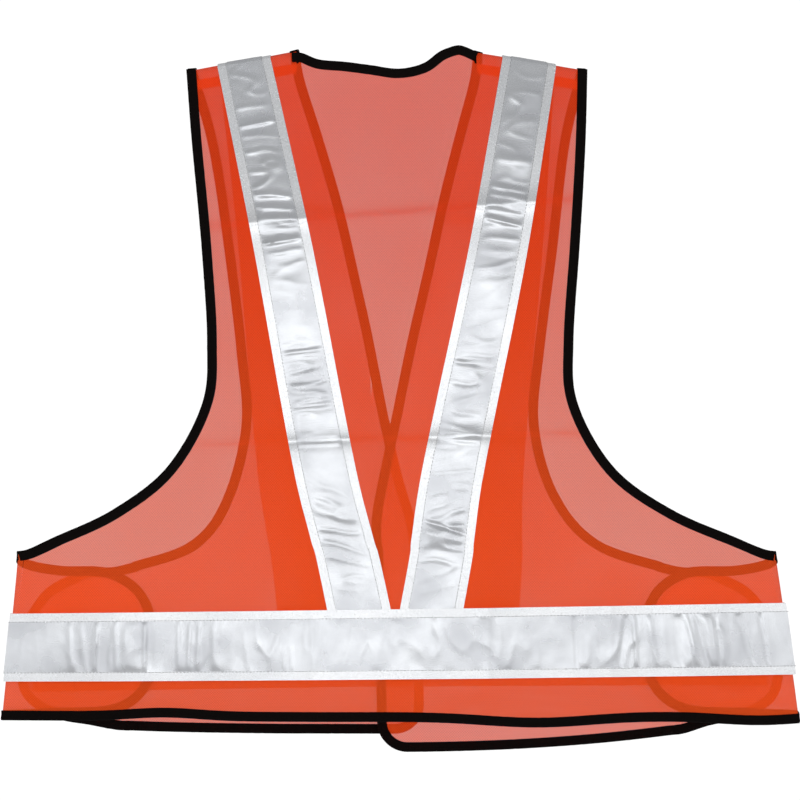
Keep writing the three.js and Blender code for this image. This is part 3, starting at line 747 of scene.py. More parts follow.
def mesh_finish():
    material, tree, shader = new_finish("orange_mesh", Roughness=0.8, Specular_IOR_Level=0.25,
                                        Emission_Color=MESH_GLOW, Emission_Strength=0.17)
    weave, wear = woven(tree, 700, 0.62), wear_of(tree, 11, 260)
    pressed_and_crease_shade = carried(tree, "pressed_and_crease_shade")
    drop = spread(tree, across_and_down(tree)["Y"], FADE_LOW, FADE_HIGH, 1.0, 0.0)
    solid = spread(tree, weave, HOLE_HEIGHT, THREAD_HEIGHT, HOLE_ALPHA, THREAD_ALPHA)
    thinner = maths(tree, "ADD", solid, maths(tree, "MULTIPLY", drop, THINNER_LOW))
    uneven = maths(tree, "MULTIPLY", thinner, spread(tree, wear["Cloud"], 0.0, 1.0, 0.965, 1.0))
    alpha = maths(tree, "ADD", uneven, maths(tree, "MULTIPLY", pressed_and_crease_shade, DENSER_PRESSED))
    shade = maths(tree, "MULTIPLY", weave, spread(tree, wear["Speckle"], 0.0, 1.0, 0.85, 1.0))
    # painted shade darkens the colour along the creases
    worn_and_crease_shaded = maths(tree, "SUBTRACT", shade, maths(tree, "MULTIPLY", pressed_and_crease_shade, CREASE_PAINTED_SHADE))
    # painted light: the colour brightens towards the hem, and the upper part keeps painted shade
    low_painted_light = maths(tree, "MULTIPLY", drop, LOW_PAINTED_LIGHT)
    tone = maths(tree, "ADD", maths(tree, "MULTIPLY", worn_and_crease_shaded, WEAVE_TONE), low_painted_light)
    dress(tree, shader, Alpha=alpha, Base_Color=two_tone(tree, tone, MESH_DARK, MESH_LIGHT),
          Normal=bump(tree, weave, 0.6, 0.3 * MM))
    return material

ORANGE_MESH = mesh_finish()

# %% [markdown]
# ## Black binding and white tape
# The binding is a ribbed tape folded over the cloth's edge. Its ribs run across it and are 1 mm apart. The
# white tape is a smooth, slightly glossy weave, so it dulls with the film where it tips up at the shoulder.

# %% Binding, tape, thread and fastener finishes
RIBS_A_METRE = 1000

def binding_finish():
    material, tree, shader = new_finish("black_binding", Roughness=0.9, Specular_IOR_Level=0.12)
    weave, wear = woven(tree, 1500, 1.0), wear_of(tree, 30, 900)
    turns = maths(tree, "MULTIPLY", across_and_down(tree)["X"], math.pi * RIBS_A_METRE)
    rib = maths(tree, "ABSOLUTE", maths(tree, "SINE", turns))
    fluff = maths(tree, "MULTIPLY", wear["Speckle"], rib)
    height = maths(tree, "ADD", rib, maths(tree, "MULTIPLY", weave, 0.3))
    dress(tree, shader, Base_Color=two_tone(tree, fluff, (0.0022, 0.0012, 0.0010), (0.0075, 0.0045, 0.0040)),
          Normal=bump(tree, height, 0.8, 0.35 * MM))
    return material

def tape_finish():
    material, tree, shader = new_finish("white_tape", Metallic=0.75)
    weave, wear = woven(tree, 1600, 1.0), wear_of(tree, 22, 500)
    dress(tree, shader, Base_Color=two_tone(tree, wear["Cloud"], (0.90, 0.91, 0.93), (0.97, 0.97, 0.98)),
          Roughness=spread(tree, wear["Speckle"], 0.0, 1.0, 0.18, 0.28),
          Normal=bump(tree, weave, 0.15, 0.1 * MM))
    return material

def shaded_finish(name, roughness, dark, light):
    """Thread and wire take their shade from an attribute that each stitch or loop carries."""
    material, tree, shader = new_finish(name, Roughness=roughness)
    dress(tree, shader, Base_Color=two_tone(tree, carried(tree, "shade"), dark, light))
    return material

BLACK_BINDING = binding_finish()
WHITE_TAPE = tape_finish()
# the grey of the stitches is partly real thread and partly painted shadow along the film's edge
GREY_THREAD_AND_EDGE_SHADOW = shaded_finish("grey_thread", 0.6, (0.30, 0.31, 0.32), (0.46, 0.47, 0.48))
PILE = shaded_finish("hook_and_loop", 0.7, (0.006, 0.006, 0.006), (0.035, 0.034, 0.034))

# %% [markdown]
# ## Silver film
# The film is a thin plastic skin over a bright metal layer. Its look comes from its wrinkles, which are real
# geometry further on. The finish adds faint scuffs in the roughness and a fine pebble in the bump.

# %% Silver film finish
def film_finish():
    material, tree, shader = new_finish("silver_film", Metallic=0.85, Coat_Roughness=0.15)
    wear = wear_of(tree, 26, 1100)
    dress(tree, shader, Base_Color=two_tone(tree, wear["Cloud"], (0.73, 0.74, 0.77), (0.82, 0.83, 0.85)),
          Roughness=spread(tree, wear["Cloud"], 0.0, 1.0, 0.30, 0.20),
          Coat_Weight=spread(tree, wear["Speckle"], 0.2, 0.9, 0.05, 0.25),
          Normal=bump(tree, wear["Speckle"], 0.22, 0.15 * MM))
    return material

SILVER_FILM = film_finish()

# %% [markdown]
# ## Back cloth
# The grid's rows run level from armhole to armhole, and its columns spread out towards the hem. The cloth
# stops a little inside the outer edge of each binding, as it does inside a real folded binding. At the
# shoulders it stops at the seam, which lies on the back, 10 mm below the fold.

# %% Back cloth
GRID = 4 * MM
EDGE_HIDDEN = 2.5 * MM  # the cloth ends this far inside a binding's outer edge
SEAM_DROP, ALLOWANCE = 10 * MM, 9 * MM  # the shoulder seam, and the width of its turned edges

def back_outline():
    """The right side of the back cloth, from the shoulder seam down to the hem."""
    armhole = inset(smooth_path(BACK_ARMHOLE, GRID), -EDGE_HIDDEN)
    armhole = armhole[armhole[:, 1] < -SHOULDER_FALL - SEAM_DROP]
    armhole = np.vstack([[SHOULDER_OUT - EDGE_HIDDEN, -SHOULDER_FALL - SEAM_DROP], armhole])
    side = np.array([[0, z] for z in (armhole[-1, 1] - GRID, BACK_HEM + EDGE_HIDDEN)])
    line = np.vstack([armhole, side])
    limit = np.array([side_turn(1, np.array(z))[0] for z in line[:, 1]])
    line[:, 0] = np.where(line[:, 0] == 0, limit, np.minimum(line[:, 0], limit))
    return even_steps(line, step=GRID)

def back_cloth():
    right = back_outline()
    left = right * (-1, 1)
    columns = int(2 * SIDE_BOTTOM[0] / GRID)
    x = np.linspace(left[0, 0], right[0, 0], columns)
    top = np.where(np.abs(x) < SHOULDER_IN, back_neck(x) - EDGE_HIDDEN, shoulder_height(x) - SEAM_DROP)
    low_x = np.linspace(left[-1, 0], right[-1, 0], columns)
    flat = patch_between(pairs(x, top), pairs(low_x, right[-1, 1]), left, right)
    obj = cloth_mesh("back_cloth", BACK, flat, ORANGE_MESH)
    return attach(obj, "back", ["back_panel"]), flat

BACK_CLOTH, back_flat = back_cloth()

# %% [markdown]
# The two edges of a shoulder seam are turned under on the inside. Seen through the mesh they make the deeper
# orange band just below each shoulder. This strip is the back's own turned edge. The front's is part of the
# front cloth, which comes over the fold to meet it.

# %% Turned edges at the shoulders
def turned_edge(side):
    x = side * np.linspace(SHOULDER_IN + 3 * MM, SHOULDER_OUT - 3 * MM, 24)
    rows = [shoulder_height(x) - SEAM_DROP - ALLOWANCE * t for t in (0, 0.33, 0.66, 1)]
    flat = np.stack([pairs(x, z) for z in rows])
    obj = cloth_mesh(f"turned_edge_{SIDE_WORDS[side]}", BACK, flat, ORANGE_MESH, lift=-0.5 * MM)
    return attach(obj, "back")

turned_edges = [turned_edge(side) for side in (LEFT, RIGHT)]

# %% [markdown]
# ## Bindings of the back
# Each binding is drawn along the free edge of its cloth with the cloth on its left. The armhole bindings
# run up to the shoulder fold and down to the side fold, where the next body's binding takes them on.

# %% Bindings of the back
STEP = 3 * MM

def bind(name, layer, outline, side, body, node):
    obj = binding_mesh(name, layer, outline, side, BLACK_BINDING)
    return attach(obj, body, [node])

def back_armhole_outline():
    line = smooth_path(BACK_ARMHOLE, STEP)
    limit = side_edge(line[-1, 1])
    return np.vstack([line[line[:, 0] < limit - MM], [limit, line[-1, 1]]])[::-1]

neck_line = smooth_path(BACK_NECK, STEP)[::-1]
hem_half = side_edge(BACK_HEM)
hem_line = even_steps([[-hem_half, BACK_HEM], [hem_half, BACK_HEM]], step=STEP)
back_bindings = [bind("neck_binding_back", BACK, neck_line, RIGHT, "back", "binding_back_neck"),
                 bind("hem_binding_back", BACK, hem_line, RIGHT, "back", "binding_back_hem")]
for side, word in SIDE_WORDS.items():
    back_bindings.append(bind(f"armhole_binding_back_{word}", BACK, back_armhole_outline(), side, "back",
                              f"binding_back_armhole_{word}"))

# %% [markdown]
# ## Tape and film
# A tape is a white slab with a narrower slab of film on it. The film crumples between its two stitched
# edges: soft billows, and sharp ridges that run across it, in some stretches more than in others. The
# height of each point of the film is worked out from noise, stretched so that the ridges cross the tape.

# %% Crumpled film
TAPE_THICK, FILM_THICK = 0.5 * MM, 0.45 * MM
FILM_INSET, FILM_STEP = 8 * MM, 1.6 * MM
FILM_FOOT, FILM_DEEPEST = 0.03 * MM, -0.35 * MM  # its gap from the tape, and how far a wrinkle may dip
STITCH_INSET, STITCH_LIFT = 0.55 * MM, 0.12 * MM  # a row of stitches lies this far outside the film's edge

# Creases of the back's films, in mm: place along the film, lean, height and half width.
FILM_CREASES = {
    "back_v_left": [(54, 1, 0.9, 1.5), (117, -3, 0.7, 2.0), (128, -3, 0.8, 1.8), (137, -2, 0.6, 1.8),
                    (149, 0, -1.3, 2.6), (157, 1, 0.9, 1.5), (253, 1, 0.8, 1.2), (300, 1, 0.5, 2.0),
                    (332, 0, -1.3, 2.2)],
    "back_v_right": [(86, 0, 0.5, 3.5), (111, 1, 0.8, 2.0), (118, 1, 0.7, 1.8), (133, 1, -1.3, 2.6),
                     (140, 2, 0.9, 1.5), (264, 1, -0.9, 1.5), (329, 1, -1.2, 2.2), (407, 6, -1.0, 1.3)],
    "back_waist": [(55, 3, 0.6, 2.2), (66, 4, 0.5, 2.5), (77, 1, 0.9, 1.5), (94, 2, 0.6, 2.0),
                   (119, 1, 0.9, 1.6), (148, 1, 0.7, 1.6), (157, 0, 0.9, 1.3), (165, 0, 0.8, 1.3),
                   (178, 1, 0.5, 2.2), (488, 0, -1.0, 1.0), (528, -5, -1.2, 1.6), (539, -1, 1.0, 1.3),
                   (554, 2, 0.6, 2.5), (577, 0, -0.8, 3.5), (588, 3, 0.8, 1.5), (596, 4, -0.8, 1.6),
                   (610, 0, -0.9, 1.5), (634, 4, -0.7, 2.2), (650, 1, -0.9, 1.4)],
}

# Each kind of noise: its scale along the film (to the metre) and across it, and what is added to the seed.
BEND_NOISE, STRETCH_NOISE = (9, 0, 40), (16, 0.2, 30)
BILLOW_NOISE, RIDGE_NOISE, FINE_NOISE = (52, 0.4, 0), (78, 0.5, 9), (260, 5, 20)
BILLOW_HEIGHT, RIDGE_HEIGHT, FINE_HEIGHT = 0.85, 0.6, 0.06  # in mm
RIDGE_SHARP = 2.6  # the larger, the narrower
BEND_MOST, BEND_ALWAYS, BEND_REACH = 0.35, 0.06, 18 * MM  # wrinkles lean, here one way and there the other
CALM_LEAST, CALM_MIDDLE, CALM_SPREAD = 0.15, 0.55, 1.3  # how much calmer some stretches are than others
FLAT_END = 9 * MM  # the film rises from nothing over this length at each end

def film_noise(kind, along, across, seed):
    scale_along, scale_across, more = kind
    return noise.noise(Vector((along * scale_along, across * scale_across, seed + more)))

def crumple(along, across, length, seed, creases=()):
    """How far the film stands up at a place along it (metres) and across it (-1 to 1)."""
    sharp = sum(
        height * math.exp(-((along / MM - place - lean * across) / wide) ** 2)
        for place, lean, height, wide in creases)
    bend = BEND_MOST * film_noise(BEND_NOISE, along, across, seed) + BEND_ALWAYS
    run = along + bend * across * BEND_REACH
    billow = film_noise(BILLOW_NOISE, run, across, seed)
    ridge = max(0.0, 1 - RIDGE_SHARP * abs(film_noise(RIDGE_NOISE, run, across, seed))) ** 2
    stretch = CALM_MIDDLE + CALM_SPREAD * film_noise(STRETCH_NOISE, along, across, seed)
    stretch = min(1.0, max(CALM_LEAST, stretch))
    fine = film_noise(FINE_NOISE, run, across, seed)
    held = (1 - abs(across) ** 6) * min(1.0, along / FLAT_END, (length - along) / FLAT_END)
    soft = BILLOW_HEIGHT * billow + RIDGE_HEIGHT * ridge + FINE_HEIGHT * fine
    return held * (stretch * soft + sharp) * MM

def tape_grid(a, b, border, columns):
    """A flat grid between two matched edges, leaving a border beside each."""
    wide = np.linalg.norm(b - a, axis=1, keepdims=True)
    share = np.linspace(0, 1, columns)[None, :]
    share = border / wide + (1 - 2 * border / wide) * share
    return a[:, None] + (b - a)[:, None] * share[..., None]

def sew_tape(suffix, layer, edges, side, body, base, seed, node=None):
    """The white tape and its film. Returns the two edges of the film, for the stitches."""
    node = node or suffix
    a, b = (even_steps(edge, count=len(edges[0])) * (side, 1) for edge in edges)
    white = tape_grid(a, b, 0, 14)
    tape = slab_mesh(f"tape_{suffix}", layer, white, base, base + TAPE_THICK, WHITE_TAPE)
    attach(tape, body, [f"tape_{node}"])
    silver = tape_grid(a, b, FILM_INSET, 22)
    run = run_along((a + b) / 2)
    over = np.linspace(-1, 1, silver.shape[1])
    creases = FILM_CREASES.get(suffix, ())
    raised = np.array([[crumple(s, c, run[-1], seed, creases) for c in over] for s in run])
    foot = base + TAPE_THICK + FILM_FOOT
    top = foot + FILM_THICK + np.maximum(raised, FILM_DEEPEST)
    film = slab_mesh(f"film_{suffix}", layer, silver, foot, top, SILVER_FILM)
    attach(film, body, [f"silver_{node}"])
    beside = tape_grid(a, b, FILM_INSET - STITCH_INSET, 2)
    return [(layer, beside[:, k], base + TAPE_THICK + STITCH_LIFT) for k in (0, 1)]

# %% [markdown]
# The two V tapes come over the shoulders and slant in to the waist tape, which covers their ends. They are
# narrower than the waist tape, and slightly curved, because cloth stretches on the slant.

# %% Tapes of the back
WAIST_TAPE, WAIST_RISE, WAIST_FLARE = 60 * MM, 0.0115, 0.0025
BACK_WAIST, FRONT_WAIST = -509 * MM, -519 * MM
SLANTED_LENGTH = 0.48  # about the length of a slanted tape, in metres
TUCK = 7 * MM  # the end of each slanted tape lies this far under the waist tape
UNDER, OVER = 0.25 * MM, 1.75 * MM  # lifts of a slanted tape and of the waist tape that crosses it
V_OUTER = in_metres((145.6, -14), (106, -232), (57, -478))
V_INNER = in_metres((99.8, -5), (53, -238), (2.5, -478))
V_FOOT_SHIFT = -2.6 * MM  # the foot of the V lies this far left of the middle
BRACE_OUTER = in_metres((145.6, -14), (104, -487.5))
BRACE_INNER = in_metres((99.8, -5), (54, -487.5))

def slanted_edges(inner, outer, side, waist, top, foot_shift=0.0):
    """The edges of a slanted tape. top(x) is the flat height where it starts."""
    edges = []
    for line in (inner, outer):
        line = line.copy()
        line[-1, 0] += side * foot_shift
        line[0, 1] = top(line[0, 0])
        line[-1, 1] = waist + WAIST_TAPE / 2 - TUCK + WAIST_RISE * side * line[-1, 0]
        edges.append(line)
    count = int(SLANTED_LENGTH / FILM_STEP)
    return [even_steps(smooth_path(line, GRID), count=count) for line in edges]

def waist_edges(start, end, side, waist):
    """The two edges of a level tape. start(z) and end(z) give its ends, which may slope."""
    edges = []
    for half in (WAIST_TAPE / 2, -WAIST_TAPE / 2):
        count = int(abs(end(waist) - start(waist)) / FILM_STEP)
        x = np.linspace(start(waist + half), end(waist + half), count)
        rise = WAIST_RISE + (WAIST_FLARE if half > 0 else -WAIST_FLARE)
        edges.append(pairs(x, waist + half + rise * side * x))
    return edges

rows = {"back": []}  # body: the rows of stitches that it carries, as (layer, flat line, lift)
for side, word in SIDE_WORDS.items():
    edges = slanted_edges(
        V_INNER, V_OUTER, side, BACK_WAIST, lambda x: shoulder_height(x) - TURN_BELOW, V_FOOT_SHIFT)
    rows["back"] += sew_tape(f"back_v_{word}", BACK, edges, side, "back", UNDER, 3.0 + side)
edges = waist_edges(lambda z: -side_edge(z) - OVER, lambda z: side_edge(z) + OVER, RIGHT, BACK_WAIST)
rows["back"] += sew_tape("back_waist", BACK, edges, RIGHT, "back", OVER, 11.0)

# %% [markdown]
# ## Wings
# Each wing is the back cloth turned round the side fold, with a round end that lies inside the front. Its
# pattern starts on the far side of the fold, so its first columns make the fold itself.

# %% Wings
WING_TAPE_END = 303 * MM  # the waist tape runs on round the fold, as far as this
LAP_OVER = 2.5 * MM  # a piece that takes over from another starts this far inside it

def wing_outline():
    """The free edge of a wing, from the top of the side fold round to its foot."""
    top, foot = BACK_ARMHOLE[-1, 1], BACK_HEM
    head, tail = [[round_side(top, math.pi / 2), top]], [[round_side(foot, math.pi / 2), foot]]
    return smooth_path(np.vstack([head, WING_EDGE, tail]), FINE_STEP)

def wing_flat():
    """Rows from the far side of the fold to the wing's round end."""
    edge = even_steps(inset(wing_outline(), EDGE_HIDDEN)[1:-1], count=90)
    heights = np.linspace(edge[0, 1], edge[-1, 1], len(edge))
    beyond = np.array([[round_side(z, math.pi), z] for z in heights])
    fold = np.array([[round_side(z, 0), z] for z in heights])
    turn = beyond[:, None] + (fold - beyond)[:, None] * np.linspace(0, 1, 9)[None, :, None]
    inner = np.minimum(edge, np.stack([fold[:, 0], edge[:, 1]], -1))
    layer = fold[:, None] + (inner - fold)[:, None] * np.linspace(0, 1, 34)[None, 1:, None]
    return np.concatenate([turn, layer], axis=1)

for side, word in SIDE_WORDS.items():
    body = f"wing_{word}"
    flat = wing_flat() * (side, 1)
    cloth = cloth_mesh(f"wing_cloth_{word}", WING, flat, ORANGE_MESH)
    attach(cloth, body, [f"wing_{word}"])
    edge = bind(f"wing_binding_{word}", WING, wing_outline(), side, body, f"binding_wing_{word}")
    edges = waist_edges(lambda z: round_side(z, math.pi / 2), lambda z: WING_TAPE_END, side, BACK_WAIST)
    rows[body] = sew_tape(f"wing_waist_{word}", WING, edges, side, body, OVER, 17.0 + side, f"wing_{word}")

# %% [markdown]
# ## Fronts
# A front starts inside the back at the shoulder seam, comes up over the fold and hangs to the hem. Its
# outer edge is the front armhole and then the line where its tab starts. Its inner edge is the neckline,
# and below that the lap. The left front's lap is a flap that can be peeled, so the left cloth stops short
# of the flap's fold.

# %% Outlines of the fronts
SHOULDER_RADIUS = 1.9 * MM  # about that of the fold
NECK_TO_FLAP = 62 * MM  # the neck binding hands over to the flap this far above the fold's top
FLAP_LINE = FLAP_FOLD + (FLAP_BEND, 0)  # the front panel's pieces end here, and the flap's start
LEAVE_NECK, MEET_FLAP = 20 * MM, 12 * MM  # heights above that line's top, where the left cloth turns in to it

def lap_and_corner(side):
    """The lap from the foot of the neckline down, and the round corner below it."""
    lap = smooth_path(LAP_EDGE, FINE_STEP)
    low = float(front_hem(side, 0))
    turn = np.linspace(0, math.pi / 2, 16)[:, None]
    corner = np.hstack([-LAP_HALF + CORNER_RADIUS * (1 - np.cos(turn)),
                        low + CORNER_RADIUS * (1 - np.sin(turn))])
    straight = even_steps([lap[-1], corner[0]], step=STEP)
    return np.vstack([lap[1:], straight[1:-1], corner])

def neck_outline(side):
    """The free inner edge of a front from the shoulder seam down: neck, then lap and corner on the right."""
    start = [[SHOULDER_IN, over_shoulder(FRONTS[side], side * SHOULDER_IN, math.pi / 2)]]
    line = smooth_path(np.vstack([start, NECK_EDGE]), FINE_STEP)
    return line if side == LEFT else np.vstack([line, lap_and_corner(side)])

def armhole_outline(side):
    """The free outer edge of a front, from the shoulder fold down to the tab's bend."""
    start = [[SHOULDER_OUT, over_shoulder(FRONTS[side], side * SHOULDER_OUT, math.pi / 2)]]
    line = np.vstack([start, smooth_path(FRONT_ARMHOLE, FINE_STEP)])
    return line[line[:, 0] < TAB_LINE + LAP_OVER]

def front_edges(side):
    """The inner and outer edges of a front cloth, from the inside of the shoulder seam to the hem."""
    over = SEAM_DROP - TURN_BELOW + ALLOWANCE + math.pi / 2 * FOLD_GAP
    outer = inset(armhole_outline(side), -EDGE_HIDDEN)
    outer = np.vstack([outer[0] + (0, over), outer])
    outer = outer[outer[:, 0] < TAB_LINE - MM]
    corner = [TAB_LINE, front_hem(side, TAB_LINE) + EDGE_HIDDEN]
    outer = np.vstack([outer, [TAB_LINE, outer[-1, 1] - 2 * MM], corner])
    inner = inset(neck_outline(side), EDGE_HIDDEN)
    if side == LEFT:
        (top_x, top_z), (foot, _) = FLAP_LINE
        inner = inner[inner[:, 0] > top_x + MM]
        inner = inner[inner[:, 1] > top_z + LEAVE_NECK]
        low = front_hem(side, foot) + EDGE_HIDDEN
        inner = np.vstack([inner, [top_x - MM, top_z + MEET_FLAP], [foot, low]])
    inner = np.vstack([inner[0] + (0, over), inner])
    return inner, outer

# %% Front cloths
FRONT_LENGTH = 0.61  # about the length of a front, in metres
TUCK_DEPTH, TUCK_FROM, TUCK_OVER = -0.9 * MM, -1.5 * MM, 2.5 * MM  # how the turned edge dips under the back

def front_flat(side):
    inner, outer = front_edges(side)
    count = int(FRONT_LENGTH / GRID)
    inner, outer = even_steps(inner, count=count), even_steps(outer, count=count)
    across = np.linspace(0, 1, 64)[:, None]
    top = inner[0] + (outer[0] - inner[0]) * across
    slope = shoulder_height(top[:, 0])
    top[:, 1] += slope - (slope[0] + (slope[-1] - slope[0]) * across[:, 0])
    low_x = inner[-1, 0] + (outer[-1, 0] - inner[-1, 0]) * across[:, 0]
    bottom = pairs(low_x, front_hem(side, low_x) + EDGE_HIDDEN)
    bottom[0], bottom[-1] = inner[-1], outer[-1]
    return patch_between(top, bottom, inner, outer)

def tucked(flat):
    """A front's turned edge lies under the back cloth, past the shoulder seam."""
    seam = shoulder_height(flat[..., 0]) + math.pi * SHOULDER_RADIUS - TURN_BELOW + SEAM_DROP - TURN_BELOW
    return TUCK_DEPTH * smoothstep((flat[..., 1] - seam - TUCK_FROM) / TUCK_OVER)

front_cloths = {}
for side, word in SIDE_WORDS.items():
    flat = front_flat(side)
    mirrored = flat * (side, 1)
    cloth = cloth_mesh(f"front_cloth_{word}", FRONTS[side], mirrored, ORANGE_MESH, tucked(flat))
    attach(cloth, f"front_{word}", [f"front_panel_{word}"])
    front_cloths[side] = (cloth, mirrored)

# %% Bindings of the fronts
for side, word in SIDE_WORDS.items():
    body, layer = f"front_{word}", FRONTS[side]
    armhole, neck = armhole_outline(side)[::-1], neck_outline(side)
    foot, node = neck[-1, 0], "binding_front_edge_right"
    if side == LEFT:
        neck = neck[neck[:, 1] > FLAP_FOLD[0, 1] + NECK_TO_FLAP]
        foot, node = FLAP_LINE[1, 0], "binding_front_neck_left"
    x = even_steps([[foot], [TAB_LINE]], step=STEP)[:, 0]
    hem = pairs(x, front_hem(side, x))
    edging = [bind(f"{name}_binding_front_{word}", layer, line, side, body, stands_for)
              for name, line, stands_for in (("armhole", armhole, f"binding_front_armhole_{word}"),
                                             ("neck", neck, node),
                                             ("hem", hem, f"binding_front_hem_{word}"))]
    cloth, flat = front_cloths[side]

# %% [markdown]
# ## Tapes of the fronts
# The tapes come over the shoulders from the V on the back and run down beside the front armholes. The front
# waist tape stops where the tab and the flap bend, and their own pieces take it on.

# %% Tapes of the fronts
def flap_start(z):
    """The x on the left front where the flap's pieces take over."""
    (x0, z0), (x1, z1) = FLAP_LINE
    return x0 + (x1 - x0) * (z - z0) / (z1 - z0)

RIGHT_WAIST_START = 20 * MM  # the right front's waist tape starts beside its loop patch
for side, word in SIDE_WORDS.items():
    body, layer = f"front_{word}", FRONTS[side]
    edges = slanted_edges(
        BRACE_INNER, BRACE_OUTER, side, FRONT_WAIST, lambda x: over_shoulder(layer, side * x, math.pi))
    rows[body] = sew_tape(f"front_brace_{word}", layer, edges, side, body, UNDER, 23.0 + side, body)
    start = flap_start if side == LEFT else lambda z: RIGHT_WAIST_START
    edges = waist_edges(start, lambda z: TAB_LINE, side, FRONT_WAIST)
    rows[body] += sew_tape(f"front_waist_{word}", layer, edges, side, body, OVER, 29.0 + side)

# %% [markdown]
# ## Tabs and flap
# The fronts end at the sides in round tabs that fasten on the wings, and the left front ends in the middle
# in a flap that fastens on the right front. Each starts a little inside its front, where the cloth can bend.

# %% Tabs
def tab_outline(side):
    """The free edge of a tab, walked with the cloth on its left: hem, round end, top."""
    first = TAB_LINE - LAP_OVER
    x = np.array([first, first + 6 * MM, TAB_FOLD + 6 * MM])  # the hem's own points, before the round end
    hem = pairs(x, front_hem(side, x))
    top = smooth_path(np.vstack([FRONT_ARMHOLE[-3:], TAB_EDGE[1:3]]), MM)
    top = top[(top[:, 0] >= first) & (top[:, 0] < TAB_EDGE[1, 0])][::-1]
    line = np.vstack([smooth_path(np.vstack([hem, TAB_EDGE[:0:-1]]), MM)[:-1], top])
    return even_steps(line, step=FINE_STEP)

def tab_flat(side):
    edge = even_steps(inset(tab_outline(side), EDGE_HIDDEN), count=110)
    fold = pairs(TAB_LINE, np.linspace(edge[0, 1], edge[-1, 1], len(edge)))
    share = np.linspace(0, 1, 30)[None, :, None]
    return fold[:, None] + (np.maximum(edge, [TAB_LINE, -1]) - fold)[:, None] * share

def tab_end(z):
    """The x at which the waist tape ends on a tab, inside the binding."""
    return float(x_at(TAB_EDGE[1:-1], z)) - BINDING_WIDTH - MM

for side, word in SIDE_WORDS.items():
    body, layer = f"tab_{word}", FRONTS[side]
    flat = tab_flat(side) * (side, 1)
    cloth = cloth_mesh(f"tab_cloth_{word}", layer, flat, ORANGE_MESH)
    attach(cloth, body, [f"front_tab_{word}"])
    edge = bind(f"tab_binding_{word}", layer, tab_outline(side), side, body, f"binding_tab_{word}")
    edges = waist_edges(lambda z: TAB_LINE - 0.5 * MM, tab_end, side, FRONT_WAIST)
    rows[body] = sew_tape(f"tab_waist_{word}", layer, edges, side, body, OVER, 35.0 + side, f"tab_{word}")

# %% Flap
def flap_outline():
    """The free edge of the flap: the end of the neckline, the lap, the corner and the hem."""
    neck = neck_outline(LEFT)
    neck = neck[neck[:, 1] <= FLAP_FOLD[0, 1] + NECK_TO_FLAP + LAP_OVER]
    lap = lap_and_corner(LEFT)
    x = even_steps([lap[-1, :1], FLAP_LINE[1, :1]], step=STEP)[1:, 0]
    return np.vstack([neck, lap, pairs(x, front_hem(LEFT, x))])

def flap_flat():
    """Rows from the flap's line to its free edge. Above the fold's top they start from the neckline."""
    edge = even_steps(inset(flap_outline(), EDGE_HIDDEN), count=140)
    line = even_steps([edge[0] + (2 * MM, 0), FLAP_LINE[1]], count=len(edge))
    neck = x_at(inset(neck_outline(LEFT), EDGE_HIDDEN), line[:, 1]) * (line[:, 1] > LAP_EDGE[0, 1])
    line[:, 0] = np.maximum([flap_start(z) for z in line[:, 1]], neck)
    line[-1] = [flap_start(edge[-1, 1]), edge[-1, 1]]
    share = np.linspace(0, 1, 16)[None, :, None]
    return line[:, None] + (edge - line)[:, None] * share

mirrored = flap_flat() * (LEFT, 1)
flap_cloth = cloth_mesh("flap_cloth", LEFT_FRONT, mirrored, ORANGE_MESH)
attach(flap_cloth, "front_flap", ["front_flap"])
edge = bind("flap_binding", LEFT_FRONT, flap_outline(), LEFT, "front_flap", "binding_flap")
edges = waist_edges(flap_start, lambda z: -LAP_HALF + BINDING_WIDTH + MM, LEFT, FRONT_WAIST)
rows["front_flap"] = sew_tape("flap_waist", LEFT_FRONT, edges, LEFT, "front_flap", OVER, 41.0, "flap")

# %% [markdown]
# ## Hook and loop patches
# The tabs fasten on the wings, and the flap on the right front, with hook and loop tape. The loop half faces
# out and the hook half faces in. A patch is a thin woven slab, and Geometry Nodes scatters small wire loops
# over its face: a loop is a bent wire of a few faces, thousands of times over.

# %% Pile made with Geometry Nodes
def new_tree(name, inputs):
    tree = bpy.data.node_groups.new(name, "GeometryNodeTree")
    tree.interface.new_socket("Geometry", in_out="INPUT", socket_type="NodeSocketGeometry")
    for socket, kind in inputs.items():
        tree.interface.new_socket(socket, in_out="INPUT", socket_type=f"NodeSocket{kind}")
    tree.interface.new_socket("Geometry", in_out="OUTPUT", socket_type="NodeSocketGeometry")
    return tree, tree.nodes.new("NodeGroupInput").outputs, tree.nodes.new("NodeGroupOutput").inputs

def made_real(tree, instances, seed):
    """Gives every copy its own shade, from 0 to 1, and turns the copies into plain mesh."""
    random = add(tree, "FunctionNodeRandomValue", [("data_type", "FLOAT")], Seed=seed)["Value"]
    shaded = add(tree, "GeometryNodeStoreNamedAttribute", [("data_type", "FLOAT"), ("domain", "INSTANCE")],
                 Geometry=instances, Name="shade", Value=random)["Geometry"]
    return add(tree, "GeometryNodeRealizeInstances", Geometry=shaded)["Geometry"]

FACING_ENOUGH = 0.6  # the cosine of the steepest face that still carries pile

